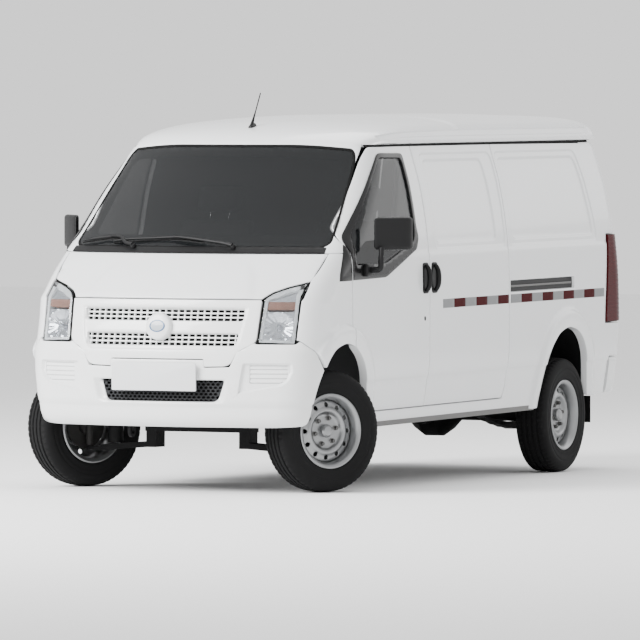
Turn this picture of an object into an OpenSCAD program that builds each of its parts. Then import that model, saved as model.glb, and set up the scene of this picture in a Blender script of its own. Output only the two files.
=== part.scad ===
// Light cargo van, unladen, on its wheels. Millimetres, front towards -Y, left side towards +X, ground at Z = 0.

/* [Chassis] */
// Distance between the axle centres
wheelbase = 3050; // [3000:10:3100]
// Front axle centre, measured along Y from the middle of the van
front_axle_y = -1660; // [-1670:5:-1650]
// Distance from the middle of the van to a tyre's middle plane
half_track = 700; // [690:1:705]
// Nose-down rake of the unladen body on its springs, in degrees
rake_angle = 0.866; // [0.5:0.01:1]
// Angle at which the front wheels stand, in degrees about +Z
parked_steer = -28.8; // [-30:0.1:-20]
// Distance from the tyre's middle plane inboard to the steering axis
kingpin_inset = 45; // [40:1:60]

/* [Wheels] */
// Outer radius of the tyre
tyre_r = 318; // [312:1:322]
// Width of the tyre
tyre_w = 185; // [175:1:190]
// Radius of the rim's bead seat
bead_r = 178; // [176:1:180]
// Radius of the rim's outer flange
flange_r = 195; // [190:1:198]

/* [Body] */
// Thickness of a body wall or door
wall = 42; // [36:1:46]
// Gap between neighbouring panels
seam = 7; // [6:0.5:9]
// Thickness of the glass
glass_t = 5; // [4:0.5:6]
// Radius of the front end in plan, about the cabin's turning centre
nose_plan_r = 2305; // [2300:5:2310]

/* [Hidden] */
rear_axle_y = front_axle_y + wheelbase;
big = 6000;
white = "whitesmoke";
black = "#26282b";
grey = "#8d9094";
arc_fn = 200;
round_fn = 48;

// Middle line of the nose, cabin front and roof, from under the bumper to the middle of the roof: [y, z].
front_line = [[-2120, 352], [-2175, 364], [-2192, 452], [-2206, 470], [-2210, 600], [-2203, 735],
    [-2183, 792], [-2158, 905], [-2132, 1008], [-2105, 1032], [-1980, 1140], [-1850, 1237], [-1836, 1237],
    [-1806, 1242], [-1790, 1257], [-1530, 1525], [-1250, 1806], [-1165, 1848], [-1028, 1888], [-850, 1922], [-600, 1950], [-300, 1968], [0, 1976]];
// Middle line of the roof's rear and the tail, from the middle of the roof down: [y, z].
rear_line = [[0, 1988], [900, 1988], [1400, 1974], [1800, 1952], [1975, 1925], [2055, 1880], [2092, 1810],
    [2150, 1300], [2192, 1000], [2200, 780], [2200, 352]];
// Half section of the body seen from the front, from the sill up to the drip rail: [x, z].
side_line = [[786, 327], [795, 400], [818, 565], [826, 640], [830, 720], [830, 960], [828, 1100],
    [823, 1240], [813, 1340], [776, 1560], [714, 1785]];
// Half section of the roof from the drip rail to the middle.
roof_line = [[716, 1792], [736, 1797], [736, 1808], [714, 1832], [702, 1862], [676, 1893], [620, 1922],
    [540, 1942], [400, 1960], [200, 1972], [90, 1977]];
front_turn_y = front_line[4][0] + nose_plan_r;
hood_rear_y = -1850;

// Outline offset inwards by t: each point moves along the mitre of its two neighbouring edges.
function unit(v) = v / norm(v);
function left_of(v) = [-v[1], v[0]];
function edge_dir(pts, i) = unit(pts[min(i + 1, len(pts) - 1)] - pts[min(i, len(pts) - 2)]);
function mitre(a, b) = unit(a + b) / max(0.35, cos(acos(min(1, a * b)) / 2));
function inset(pts, t) = [for (i = [0 : len(pts) - 1])
    pts[i] + t * mitre(left_of(edge_dir(pts, max(i - 1, 0))), left_of(edge_dir(pts, i)))];
function flipped(pts) = [for (p = pts) [-p[0], p[1]]];
function reversed(pts) = [for (i = [len(pts) - 1 : -1 : 0]) pts[i]];

// The body group tips about the front axle line by the rake angle.
module raked() {
    translate([0, front_axle_y, 0])
        rotate([rake_angle, 0, 0])
            translate([0, -front_axle_y, 0])
                children();
}

module both_sides() {
    children();
    mirror([1, 0, 0])
        children();
}

// A prism whose outline is given seen from the left side as [y, z], between two X values.
module side_prism(x0, x1, pts) {
    translate([x0, 0, 0])
        rotate([90, 0, 90])
            linear_extrude(x1 - x0)
                polygon(pts);
}

// A prism whose outline is given seen from the front as [x, z], between two Y values.
module front_prism(y0, y1, pts) {
    translate([0, y1, 0])
        rotate([90, 0, 0])
            linear_extrude(y1 - y0)
                polygon(pts);
}

module box(x0, x1, y0, y1, z0, z1) {
    translate([x0, y0, z0])
        cube([x1 - x0, y1 - y0, z1 - z0]);
}

// Solid of revolution under the front line, t inside the outer skin.
module nose_turned(t) {
    pts = inset(front_line, -t);
    translate([0, front_turn_y, 0])
        rotate_extrude($fn = arc_fn)
            polygon(concat([[0, pts[0][1]]], [for (p = pts) [front_turn_y - p[0], p[1]]],
                [[0, pts[len(pts) - 1][1]]]));
}

// Prism under the rear line across the van, t inside the outer skin.
module tail_prism(t) {
    pts = inset(rear_line, -t);
    side_prism(-big / 2, big / 2, concat([[-50, 352], [-50, pts[0][1]]], pts));
}

// Section of the body from the front, t inside the outer skin.
module section_prism(y0, y1, t) {
    side = inset(side_line, t);
    top = inset(roof_line, t);
    half = concat([for (p = side) if (p[1] < 1780) p], [for (i = [3 : len(top) - 1]) top[i]]);
    front_prism(y0, y1, concat(half, reversed(flipped(half))));
}

// The whole closed body shape, t inside the outer skin.
module nose_body(t) {
    intersection() {
        nose_turned(t);
        section_prism(-big / 2, 0, t);
    }
}

module tail_body(t) {
    intersection() {
        tail_prism(t);
        section_prism(0, big / 2, t);
        corner_plan(t);
    }
}

// Plan of the tail with its rounded corners.
module corner_plan(t) {
    corner_r = 185;
    tail_y = 2222 - t;
    half_w = 831 - t;
    translate([0, 0, 200])
        linear_extrude(1900) {
            translate([-half_w, -100])
                square([2 * half_w, tail_y - corner_r + 100]);
            translate([-half_w + corner_r, 0])
                square([2 * half_w - 2 * corner_r, tail_y]);
            for (side = [-1, 1])
                translate([side * (half_w - corner_r), tail_y - corner_r])
                    circle(r = corner_r, $fn = round_fn);
        }
}

module nose_wall(t) {
    difference() {
        intersection() {
            nose_body(0);
            children();
        }
        nose_body(t);
    }
}

module tail_wall(t) {
    difference() {
        intersection() {
            tail_body(0);
            children();
        }
        tail_body(t);
    }
}

// Wall of one side, from the outer skin inwards by t, along Y from y0 to y1.
module side_wall(y0, y1, t) {
    inner = inset(side_line, t);
    front_prism(y0, y1, concat(side_line, reversed(inner)));
}

// Outlines of the side's panels, as [y, z].
door_front_y = -1572;
door_rear_y = -573;
slide_rear_y = 505;
door_edge = [[-1284, 402], [-1345, 520], [-1400, 655], [-1490, 790], [door_front_y, 862],
    [door_front_y, 1240], [-1592, 1300], [-1566, 1362], [-1130, 1738], [-1058, 1786]];
door_outline = concat(door_edge, [[door_rear_y, 1786], [door_rear_y, 402]]);
window_outline = [[-1540, 1120], [-1160, 1120], [-742, 1250], [-725, 1345], [-735, 1725], [-1010, 1725],
    [-1540, 1290]];
slide_outline = [[door_rear_y, 402], [slide_rear_y - 22, 402], [slide_rear_y, 470], [slide_rear_y, 1786],
    [door_rear_y, 1786]];
arch_r = 385;

// Closed outline moved outwards by s (inwards if s is negative); its points run anticlockwise.
function inset_loop(pts, s) = [for (i = [0 : len(pts) - 1])
    let (n = len(pts), a = unit(pts[i] - pts[(i + n - 1) % n]), b = unit(pts[(i + 1) % n] - pts[i]))
    pts[i] - s * mitre(left_of(a), left_of(b))];

// ---- fixed body ----

module roof() {
    rail = [[700, 1796], [716, 1792], [736, 1797], [736, 1808], [714, 1832], [700, 1832]];
    color(white)
        raked() {
            nose_wall(wall)
                box(-big, big, -1020, 0, 1792, 2100);
            tail_wall(wall) {
                box(-big, big, 0, 2030, 1792, 2100);
                box(-big, big, 2020, big, 1822, 2100);
            }
            both_sides()
                front_prism(-1018, 1960, rail);
        }
}

module side_panel() {
    color(white)
        raked()
            difference() {
                union() {
                    intersection() {
                        side_wall(-1560, 1960, wall);
                        side_prism(0, big, [[-1250, 327], [990, 327], [1040, 480], [1100, 640], [1230, 740],
                            [1346, 765], [1470, 740], [1570, 660], [1640, 540], [1700, 370], [1960, 370],
                            [1960, 1786], [door_rear_y - 30, 1786], [door_rear_y - 30, 440], [-1250, 440]]);
                    }
                    // Rear corner pillar, down to the bumper
                    tail_wall(wall)
                        side_prism(690, 900, [[1960, 600], [2120, 600], [2090, 1000], [2078, 1300],
                            [2030, 1784], [1960, 1784]]);
                }
                // Rebates for the doors
                side_prism(0, big, inset_loop(door_outline_ccw, seam));
                side_prism(0, big, inset_loop(slide_outline, seam));
                // Recess for the tail lamp
                side_prism(700, big, [[1905, 1285], [1880, 880], [2300, 870], [2300, 1285]]);
            }
}

door_outline_ccw = reversed(door_outline);

module side_panel_left() {
    side_panel();
}

module side_panel_right() {
    mirror([1, 0, 0])
        side_panel();
}

module fender() {
    color(white)
        raked()
            difference() {
                nose_wall(wall - 6)
                    side_prism(600, 900, [[-2046, 800], [-1940, 762], [-1840, 792], [-1657, 812],
                        [-1500, 790], [-1420, 700], [-1290, 410], [-1255, 410], [-1500, 1000],
                        [-1560, 1232], [-2100, 1232]]);
                side_prism(0, big, inset_loop(door_outline_ccw, seam + 1.5));
                hood_region(seam);
                headlight_region(seam);
                // Wheel arch, a cylinder across the van
                arch_cut(front_axle_y);
            }
}

module arch_cut(axle_y) {
    translate([0, axle_y, 385])
        rotate([0, 90, 0])
            cylinder(h = 1000, r = arch_r, $fn = 96);
}

module fender_left() {
    fender();
}

module fender_right() {
    mirror([1, 0, 0])
        fender();
}

// Region of the hood seen from above: [x, y], grown by s.
module hood_region(s) {
    pts = [[545 + s, -2300], [552 + s, -2040], [736 + s, -1905], [744 + s, -1560], [-744 - s, -1560],
        [-736 - s, -1905], [-552 - s, -2040], [-545 - s, -2300]];
    intersection() {
        translate([0, 0, 900])
            linear_extrude(400)
                polygon(pts);
        side_prism(-big, big, [[-2300, 1012 - s], [-1400, 1012 - s], [-1400, 1236 + s], [-2300, 1236 + s]]);
    }
}

// Region of a headlamp seen from the front: [x, z], grown by s.
module headlight_region(s) {
    front_prism(-2300, -1850, inset_loop([[534, 782], [727, 776], [732, 1098], [548, 1028]], s));
}

module hood() {
    color(white)
        raked()
            difference() {
                intersection() {
                    nose_body(0);
                    hood_region(0);
                }
                nose_body(26);
                headlight_pair(seam);
                // The rear edge follows the cabin front
                translate([0, front_turn_y, 800])
                    cylinder(h = 600, r = front_turn_y - hood_rear_y, $fn = arc_fn);
            }
}

module headlight_pair(s) {
    both_sides()
        headlight_region(s);
}

module headlights() {
    color("lightgrey")
        raked()
            difference() {
                intersection() {
                    nose_body(4);
                    headlight_pair(0);
                }
                nose_body(52);
            }
}

module grille() {
    color(white)
        raked()
            difference() {
                intersection() {
                    nose_body(0);
                    front_prism(-2300, -1900, [[-528, 1006], [-522, 775], [-440, 745], [-400, 670], [400, 670],
                        [440, 745], [522, 775], [528, 1006]]);
                }
                nose_body(34);
                // Two slots
                for (slot = [[448, 900, 956], [428, 778, 830]])
                    front_prism(-2300, -2000, [[-slot[0], slot[1]], [slot[0], slot[1]], [slot[0], slot[2]],
                        [-slot[0], slot[2]]]);
            }
    color(white)
        raked() {
            // Slats behind the slots, joined by a backing strip at each end
            difference() {
                intersection() {
                    nose_body(22);
                    union() {
                        for (z = [783, 800, 817, 906, 926, 946])
                            box(-460, 460, -2300, -1900, z - 4, z + 4);
                        for (side = [-1, 1])
                            box(side * 400 - 60, side * 400 + 60, -2300, -1900, 770, 960);
                    }
                }
                nose_body(40);
            }
            // Round boss in the middle
            translate([0, -2190, 867])
                rotate([76, 0, 0])
                    translate([0, 0, -40])
                        cylinder(h = 62, r = 70, $fn = 64);
        }
}

module front_bumper() {
    color(white)
        raked()
            difference() {
                intersection() {
                    nose_body(0);
                    side_prism(-big, big, [[-2300, 352], [-2020, 352], [-2028, 480], [-2012, 600],
                        [-1945, 754], [-2046, 794], [-2100, 772], [-2300, 772]]);
                    bumper_plan();
                }
                nose_body(36);
                // Room for the grille panel
                front_prism(-2300, -1850, [[-528, 1100], [-528, 769], [-446, 739], [-406, 664], [406, 664],
                    [446, 739], [528, 769], [528, 1100]]);
                headlight_pair(seam);
                // Slot for the towing eye
                box(-224, -176, -2126, -2000, 330, 400);
                // Lower intake
                front_prism(-2300, -2100, [[-322, 585], [-280, 486], [320, 486], [362, 585]]);
            }
    color(black)
        raked()
            difference() {
                intersection() {
                    nose_body(24);
                    box(-372, 372, -2300, -2100, 478, 594);
                }
                nose_body(36);
            }
    // Number plate and its bracket
    color("gainsboro")
        raked() {
            box(-246, 234, -2226, -2218, 535, 680);
            box(-60, 60, -2218, -2180, 600, 640);
        }
}

// Plan of the bumper with its rounded front corners.
module bumper_plan() {
    translate([0, 0, 300])
        linear_extrude(600)
            polygon([[-824, -1700], [-826, -1940], [-812, -2010], [-775, -2058], [-715, -2090], [-600, -2300],
                [600, -2300], [715, -2090], [775, -2058], [812, -2010], [826, -1940], [824, -1700]]);
}

module windscreen_frame() {
    color(white)
        raked() {
            // Header over the glass and the pillars beside it
            difference() {
                intersection() {
                    nose_body(0);
                    side_prism(-big, big, [[-2000, 1242], [-1450, 1242], [-1020, 1700], [-1020, 2100], [-1500, 2100]]);
                }
                nose_body(wall - 4);
                screen_region(0);
                both_sides()
                    side_prism(0, big, inset_loop(door_outline_ccw, seam));
            }
            // Cowl panel under the glass
            difference() {
                intersection() {
                    nose_body(38);
                    box(-700, 700, -1900, -1600, 1130, 1230);
                }
                nose_body(62);
            }
        }
}

// Region of the windscreen opening seen from the front: [x, z], grown by s.
module screen_region(s) {
    front_prism(-2200, -1000, inset_loop([[-722, 1250], [722, 1250], [736, 1280], [668, 1740], [640, 1776],
        [400, 1798], [-400, 1798], [-640, 1776], [-668, 1740], [-736, 1280]], s));
}

module windscreen() {
    color("lightblue")
        raked()
            difference() {
                intersection() {
                    nose_body(4);
                    screen_region(-1);
                }
                nose_body(4 + glass_t);
            }
}

module floor_pan() {
    color(grey)
        raked() {
            // Load floor between the rear wheel boxes, in three plates
            box(-735, 735, -560, rear_axle_y - 388, 560, 590);
            box(-512, 512, rear_axle_y - 386, rear_axle_y + 366, 560, 590);
            box(-735, 735, rear_axle_y + 368, 2100, 560, 590);
            both_sides()
                wheel_box(515, rear_axle_y - 384, rear_axle_y + 364, 560);
            // Raised cab floor over the engine, and its front wall
            box(-735, 735, -1236, -562, 560, 590);
            for (x = [[-735, -408], [-322, 322], [408, 735]])
                box(x[0], x[1], -1266, -1240, 430, 590);
            both_sides()
                wheel_box(406, -1996, -1276, 470);
            // Toe board and front bulkhead
            box(-402, 402, -1996, -1276, 560, 590);
            for (x = [[-700, -408], [-322, 322], [408, 700]])
                box(x[0], x[1], -2036, -2024, 430, 768);
            box(-515, 515, -2036, -2024, 770, 960);
        }
}

// Box over a wheel, in 10 mm plates: inner wall, two ends and the top, up to z = 800.
module wheel_box(x0, y0, y1, z0) {
    box(x0, x0 + 10, y0, y1, z0, 788);
    for (y = [y0, y1 - 10])
        box(x0 + 12, 740, y, y + 10, z0, 788);
    box(x0, 740, y0, y1, 790, 800);
}

module underframe() {
    color(black)
        raked() {
            both_sides() {
                box(330, 400, -2066, 2106, 470, 554);
                // Outriggers to the sills
                for (y = [-1180, -420, 420, 900])
                    box(402, 742, y - 25, y + 25, 480, 554);
            }
            for (y = [-1950, -1150, -250, 800, 1900])
                box(-328, 328, y - 30, y + 30, 480, 540);
            // End bars that carry the towing eyes
            box(-328, 328, -2066, -2040, 480, 540);
            box(-328, 328, 2080, 2106, 480, 540);
        }
    color(black)
        raked()
            // Tow eyes, each a plate with a round hole
            for (end = [[-2080, -200], [2110, 200]])
                tow_eye(end[1], end[0]);
}

module tow_eye(x, y) {
    eye_z = 320;
    difference() {
        union() {
            translate([x - 8, y, eye_z])
                rotate([0, 90, 0])
                    cylinder(h = 16, r = 34, $fn = 64);
            box(x - 8, x + 8, y - 34, y + 34, eye_z, 520);
        }
        translate([x - 10, y, eye_z])
            rotate([0, 90, 0])
                cylinder(h = 20, r = 18, $fn = 64);
    }
}

// ---- doors and glass ----

module front_door() {
    color(white)
        raked()
            difference() {
                intersection() {
                    side_wall(-1600, -500, wall - 4);
                    side_prism(0, big, door_outline_ccw);
                    nose_body(0);
                }
                side_prism(0, big, window_outline);
            }
}

module front_door_left() {
    front_door();
}

module front_door_right() {
    mirror([1, 0, 0])
        front_door();
}

module door_glass() {
    color("lightblue")
        raked()
            intersection() {
                difference() {
                    side_wall(-1600, -500, 12 + glass_t);
                    side_wall(-1700, -400, 12);
                }
                side_prism(0, big, inset_loop(window_outline, -0.5));
                nose_body(0);
            }
}

module door_glass_left() {
    door_glass();
}

module door_glass_right() {
    mirror([1, 0, 0])
        door_glass();
}

module mirror_unit() {
    color(black)
        raked() {
            // Foot on the door, arm and head, which faces back and a little inwards
            box(830, 846, -1435, -1335, 1110, 1180);
            translate([838, -1385, 1145])
                rotate([0, 90, 0])
                    cylinder(h = 84, r = 17, $fn = 32);
            translate([905, -1385, 1140])
                cylinder(h = 120, r = 15, $fn = 32);
            hull() {
                box(860, 890, -1405, -1335, 1244, 1424);
                box(980, 1012, -1262, -1180, 1244, 1424);
            }
        }
}

module mirror_left() {
    mirror_unit();
}

module mirror_right() {
    mirror([1, 0, 0])
        mirror_unit();
}

module sliding_door() {
    color(white)
        raked()
            difference() {
                intersection() {
                    side_wall(-600, 600, wall - 4);
                    side_prism(0, big, inset_loop(slide_outline, 0));
                }
                // Pressed panel, a shallow recess
                intersection() {
                    side_wall(-700, 700, 8);
                    side_prism(0, big, [[-430, 1275], [400, 1275], [400, 1700], [-430, 1700]]);
                }
            }
}

module sliding_door_left() {
    sliding_door();
}

module sliding_door_right() {
    mirror([1, 0, 0])
        sliding_door();
}

// Region of the tailgate seen from behind: [x, z].
gate_outline = [[-690, 590], [690, 590], [684, 1300], [610, 1780], [560, 1812], [-560, 1812], [-610, 1780],
    [-684, 1300]];
gate_window = [[-590, 1290], [590, 1290], [540, 1700], [-540, 1700]];

module tailgate() {
    color(white)
        raked()
            difference() {
                tail_wall(wall - 4)
                    front_prism(2000, 2400, inset_loop(gate_outline, -seam));
                front_prism(1900, 2400, gate_window);
            }
}

module tailgate_glass() {
    color("lightblue")
        raked()
            difference() {
                intersection() {
                    tail_body(10);
                    front_prism(1900, 2400, inset_loop(gate_window, -0.5));
                }
                tail_body(10 + glass_t);
            }
}

module tail_lights() {
    color("firebrick")
        raked()
            both_sides()
                difference() {
                    intersection() {
                        tail_body(0);
                        side_prism(700, big, [[1911, 1279], [1886, 886], [2300, 886], [2300, 1279]]);
                    }
                    tail_body(60);
                }
}

module rear_bumper() {
    color(white)
        raked()
            difference() {
                translate([0, 0, 370])
                    linear_extrude(205)
                        bumper_outline(0);
                translate([0, 0, 360])
                    linear_extrude(190)
                        bumper_outline(30);
                box(-745, 745, 1900, 2112, 500, 600);
            }
}

module bumper_outline(t) {
    corner_r = 200 - t;
    tail_y = 2240 - t;
    half_w = 826 - t;
    difference() {
        union() {
            translate([-half_w, 1900])
                square([2 * half_w, tail_y - corner_r - 1900]);
            translate([-half_w + corner_r, 1900])
                square([2 * half_w - 2 * corner_r, tail_y - 1900]);
            for (side = [-1, 1])
                translate([side * (half_w - corner_r), tail_y - corner_r])
                    circle(r = corner_r, $fn = round_fn);
        }
        translate([-900, 1800])
            square([1800, 168]);
    }
}

// ---- cabin ----

module dashboard() {
    color(black)
        raked()
            difference() {
                intersection() {
                    side_prism(-730, 730, [[-1720, 1180], [-1560, 1190], [-1400, 1150], [-1370, 1060],
                        [-1400, 900], [-1470, 840], [-1720, 840]]);
                    nose_body(68);
                }
                side_prism(-100, 100, [[-1500, 830], [-1300, 830], [-1300, 900], [-1500, 900]]);
            }
}

module seats() {
    color("dimgray")
        raked()
            for (x = [-400, 400]) {
                side_prism(x - 240, x + 240, [[-1150, 780], [-1160, 880], [-1120, 905], [-700, 880], [-690, 780]]);
                side_prism(x - 235, x + 235, [[-780, 895], [-640, 900], [-520, 1380], [-560, 1400], [-640, 1380]]);
                side_prism(x - 130, x + 130, [[-640, 1420], [-560, 1415], [-530, 1570], [-590, 1585], [-630, 1560]]);
                box(x - 60, x - 48, -600, -588, 1396, 1425);
                box(x + 48, x + 60, -600, -588, 1396, 1425);
                box(x - 210, x + 210, -1100, -720, 590, 780);
            }
}

column_pos = [400, -1290, 1110];
column_tilt = 38;

module steering_wheel() {
    color(black)
        raked()
            translate(column_pos)
                rotate([-column_tilt, 0, 0]) {
                    rotate_extrude($fn = 72)
                        translate([190, 0])
                            circle(r = 14, $fn = 24);
                    translate([0, 0, -40])
                        cylinder(h = 44, r = 55, $fn = 48);
                    for (a = [0, 120, 240])
                        rotate([0, 0, a + 90])
                            translate([20, -14, -16])
                                cube([160, 28, 14]);
                    translate([0, 0, -72])
                        cylinder(h = 60, r = 22, $fn = 32);
                }
}

module wipers() {
    color(black)
        raked()
            for (x = [[250, -420], [-330, -620]]) {
                wiper_arm(x[0], x[1]);
            }
}

// One wiper: a pivot on the cowl, an arm and a blade that lie along the glass's lower edge.
module wiper_arm(pivot_x, tip_x) {
    middle_x = (pivot_x + tip_x) / 2;
    hull() {
        translate(on_screen(pivot_x, 1268))
            sphere(r = 9, $fn = 16);
        translate(on_screen(middle_x, 1302))
            sphere(r = 8, $fn = 16);
    }
    hull() {
        translate(on_screen(middle_x, 1302))
            sphere(r = 8, $fn = 16);
        translate(on_screen(tip_x, 1288))
            sphere(r = 6, $fn = 16);
    }
}

// Point 16 mm in front of the glass at height z.
function on_screen(x, z) = let (r = front_turn_y + 1829 - (z - 1242) * 0.97)
    [x, front_turn_y - sqrt(r * r - x * x), z];

module antenna() {
    color(black)
        raked()
            difference() {
                translate([0, -1028, 1880]) {
                    cylinder(h = 18, r = 22, $fn = 32);
                    rotate([-33, 0, 0])
                        cylinder(h = 200, r = 4, $fn = 24);
                }
                nose_body(0);
            }
}

// ---- running gear ----

module engine() {
    color(grey)
        raked()
            box(-260, 260, -1010, -620, 330, 470);
}

module front_suspension() {
    color(black) {
        // Cross member
        box(-300, 300, front_axle_y - 60, front_axle_y + 60, 300, 370);
        both_sides() {
            // Lower arm, from the cross member to the ball joint
            hull() {
                box(290, 300, front_axle_y - 55, front_axle_y + 55, 215, 245);
                box(575, 590, front_axle_y - 18, front_axle_y + 18, 192, 222);
            }
            box(240, 296, front_axle_y - 55, front_axle_y + 55, 215, 310);
            // Narrow end of the arm under the ball joint, inside the rim
            box(570, 662, front_axle_y - 18, front_axle_y + 18, 192, 212);
            // Strut and upper arm
            translate([500, front_axle_y, 235])
                cylinder(h = 530, r = 40, $fn = 40);
            box(500, 662, front_axle_y - 16, front_axle_y + 16, 430, 448);
        }
    }
}

module rear_axle() {
    half = half_track + 14;
    color(black)
        translate([0, rear_axle_y, tyre_r]) {
            // Banjo casing, axle tubes, brake drums and hub ends, turned about the axle
            rotate([0, 90, 0])
                rotate_extrude($fn = 72)
                    polygon([[0, -half], [36, -half], [36, -684], [128, -684], [128, -634], [40, -634], [40, -160],
                        [90, -110], [130, -50], [130, 50], [90, 110], [40, 160], [40, 634], [128, 634],
                        [128, 684], [36, 684], [36, half], [0, half]]);
            // Pinion nose
            translate([0, -100, 0])
                rotate([90, 0, 0])
                    cylinder(h = 120, r = 60, $fn = 40);
        }
}

spring_x = 480;
spring_half = 560;

module leaf_springs() {
    color(black)
        both_sides() {
            side_prism(spring_x - 30, spring_x + 30, spring_outline());
            // Front hanger and rear shackle
            for (end = [-1, 1])
                box(spring_x - 20, spring_x + 20, rear_axle_y + end * (spring_half + 14) - 18,
                    rear_axle_y + end * (spring_half + 14) + 18, 316, 500);
        }
}

// Height of the main leaf's top at a distance d from the axle, and the pack's thickness there.
function leaf_top(d) = 276 + 62 * pow(d / spring_half, 2);
function pack_depth(d) = 8 + 8 * floor(4.99 * (1 - abs(d) / spring_half));

// Side view of the whole pack of leaves under the axle.
function spring_outline() = let (steps = 10) concat(
    [for (i = [-steps : steps]) let (d = spring_half * i / steps)
        [rear_axle_y + d, leaf_top(d) - pack_depth(d)]],
    [for (i = [steps : -1 : -steps]) let (d = spring_half * i / steps) [rear_axle_y + d, leaf_top(d)]]);

module propeller_shaft() {
    color(black)
        hull() {
            translate([0, -560, 380])
                rotate([90, 0, 0])
                    cylinder(h = 20, r = 36, $fn = 32);
            translate([0, rear_axle_y - 230, tyre_r])
                rotate([90, 0, 0])
                    cylinder(h = 20, r = 36, $fn = 32);
        }
}

module exhaust() {
    color("silver")
        raked() {
            translate([-200, -600, 330])
                rotate([-90, 0, 0])
                    cylinder(h = 900, r = 22, $fn = 32);
            translate([-200, 300, 330])
                rotate([-90, 0, 0])
                    cylinder(h = 500, r = 80, $fn = 48);
            translate([-200, 800, 330])
                rotate([-90, 0, 0])
                    cylinder(h = 250, r = 22, $fn = 32);
        }
}

module fuel_tank() {
    color(black)
        raked()
            box(110, 320, -100, 700, 300, 460);
}

module mud_flaps() {
    color(black)
        raked()
            both_sides()
                mud_flap();
}

// Flap behind a rear wheel, narrower where it goes up inside the side panel.
module mud_flap() {
    front_prism(1752, 1758, [[610, 215], [790, 215], [790, 364], [744, 364], [744, 540], [610, 540]]);
}

// ---- wheels ----

// Places a wheel's own parts, made about a +X axle at the origin, at the parked front wheel.
module at_front_wheel(side) {
    kingpin_x = half_track - kingpin_inset;
    translate([side * kingpin_x, front_axle_y, tyre_r])
        rotate([0, 0, parked_steer])
            translate([side * kingpin_inset, 0, 0])
                mirror([side < 0 ? 1 : 0, 0, 0])
                    children();
}

module at_rear_wheel(side) {
    mirror([side < 0 ? 1 : 0, 0, 0])
        translate([half_track, rear_axle_y, tyre_r])
            children();
}

module tyre() {
    half_w = tyre_w / 2;
    color("#202022")
        rotate([0, 90, 0])
            rotate_extrude($fn = 96)
                polygon([[bead_r, -68], [bead_r + 16, -78], [235, -half_w + 2], [262, -half_w], [292, -half_w + 5],
                    [tyre_r - 6, -half_w + 20], [tyre_r, -half_w + 40], [tyre_r, half_w - 40],
                    [tyre_r - 6, half_w - 20], [292, half_w - 5], [262, half_w], [235, half_w - 2],
                    [bead_r + 16, 78], [bead_r, 68], [bead_r, 60], [240, 60], [296, 50], [296, -50], [240, -60],
                    [bead_r, -60]]);
}

module rim() {
    color("silver")
        rotate([0, 90, 0])
            difference() {
                rotate_extrude($fn = 96)
                    polygon([[60, 20], [100, 20], [112, 40], [150, 34], [164, 10], [164, -66], [flange_r - 8, -86],
                        [flange_r, -84], [flange_r, -79.5], [bead_r - 0.5, -68.5], [bead_r - 0.5, -60],
                        [170, -40], [170, 40], [bead_r - 0.5, 60], [bead_r - 0.5, 68.5], [flange_r, 79.5],
                        [flange_r, 84], [flange_r - 8, 86], [168, 60], [158, 50], [112, 52], [96, 30], [0, 30],
                        [0, 20]]);
                for (i = [0 : 11])
                    rotate([0, 0, i * 30])
                        translate([135, 0, 0])
                            cylinder(h = 80, r = 12, $fn = 32);
            }
    color("silver")
        rotate([0, 90, 0]) {
            translate([0, 0, 30])
                cylinder(h = 30, r = 32, $fn = 48);
            for (i = [0 : 5])
                rotate([0, 0, i * 60])
                    translate([62, 0, 30])
                        cylinder(h = 16, r = 11, $fn = 24);
        }
}

// Steering knuckle with its brake disc, built for the left wheel about the hub centre.
module knuckle() {
    color(grey) {
        rotate([0, 90, 0]) {
            translate([0, 0, -12])
                cylinder(h = 12, r = 118, $fn = 72);
            translate([0, 0, -40])
                cylinder(h = 54, r = 46, $fn = 48);
        }
        translate([-kingpin_inset, 0, -100])
            cylinder(h = 206, r = 20, $fn = 40);
    }
}

module knuckle_left() {
    at_front_wheel(1)
        knuckle();
}

module knuckle_right() {
    at_front_wheel(-1)
        knuckle();
}

module tyre_front_left() {
    at_front_wheel(1)
        tyre();
}

module tyre_front_right() {
    at_front_wheel(-1)
        tyre();
}

module tyre_rear_left() {
    at_rear_wheel(1)
        tyre();
}

module tyre_rear_right() {
    at_rear_wheel(-1)
        tyre();
}

module rim_front_left() {
    at_front_wheel(1)
        rim();
}

module rim_front_right() {
    at_front_wheel(-1)
        rim();
}

module rim_rear_left() {
    at_rear_wheel(1)
        rim();
}

module rim_rear_right() {
    at_rear_wheel(-1)
        rim();
}

roof();
side_panel_left();
side_panel_right();
floor_pan();
underframe();
windscreen_frame();
windscreen();
fender_left();
fender_right();
grille();
front_bumper();
headlights();
hood();
front_door_left();
front_door_right();
door_glass_left();
door_glass_right();
mirror_left();
mirror_right();
sliding_door_left();
sliding_door_right();
tailgate();
tailgate_glass();
rear_bumper();
tail_lights();
dashboard();
seats();
steering_wheel();
wipers();
antenna();
engine();
front_suspension();
rear_axle();
leaf_springs();
propeller_shaft();
exhaust();
fuel_tank();
mud_flaps();
knuckle_left();
knuckle_right();
tyre_front_left();
tyre_front_right();
tyre_rear_left();
tyre_rear_right();
rim_front_left();
rim_front_right();
rim_rear_left();
rim_rear_right();
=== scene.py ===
"""A light cargo van, unladen, standing on its wheels with the front wheels turned.

Front faces -Y, the van's left side faces +X. The body shapes are worked out level, in metres, and then
tipped nose-down about the front axle line by the rake of the unladen springs.
"""
from __future__ import annotations

import logging
import math
from dataclasses import dataclass, field
from enum import Enum
from typing import Callable, Optional, Sequence

import bmesh
import bpy
import numpy as np
from mathutils import Matrix, Vector
from mathutils.geometry import delaunay_2d_cdt

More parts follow.
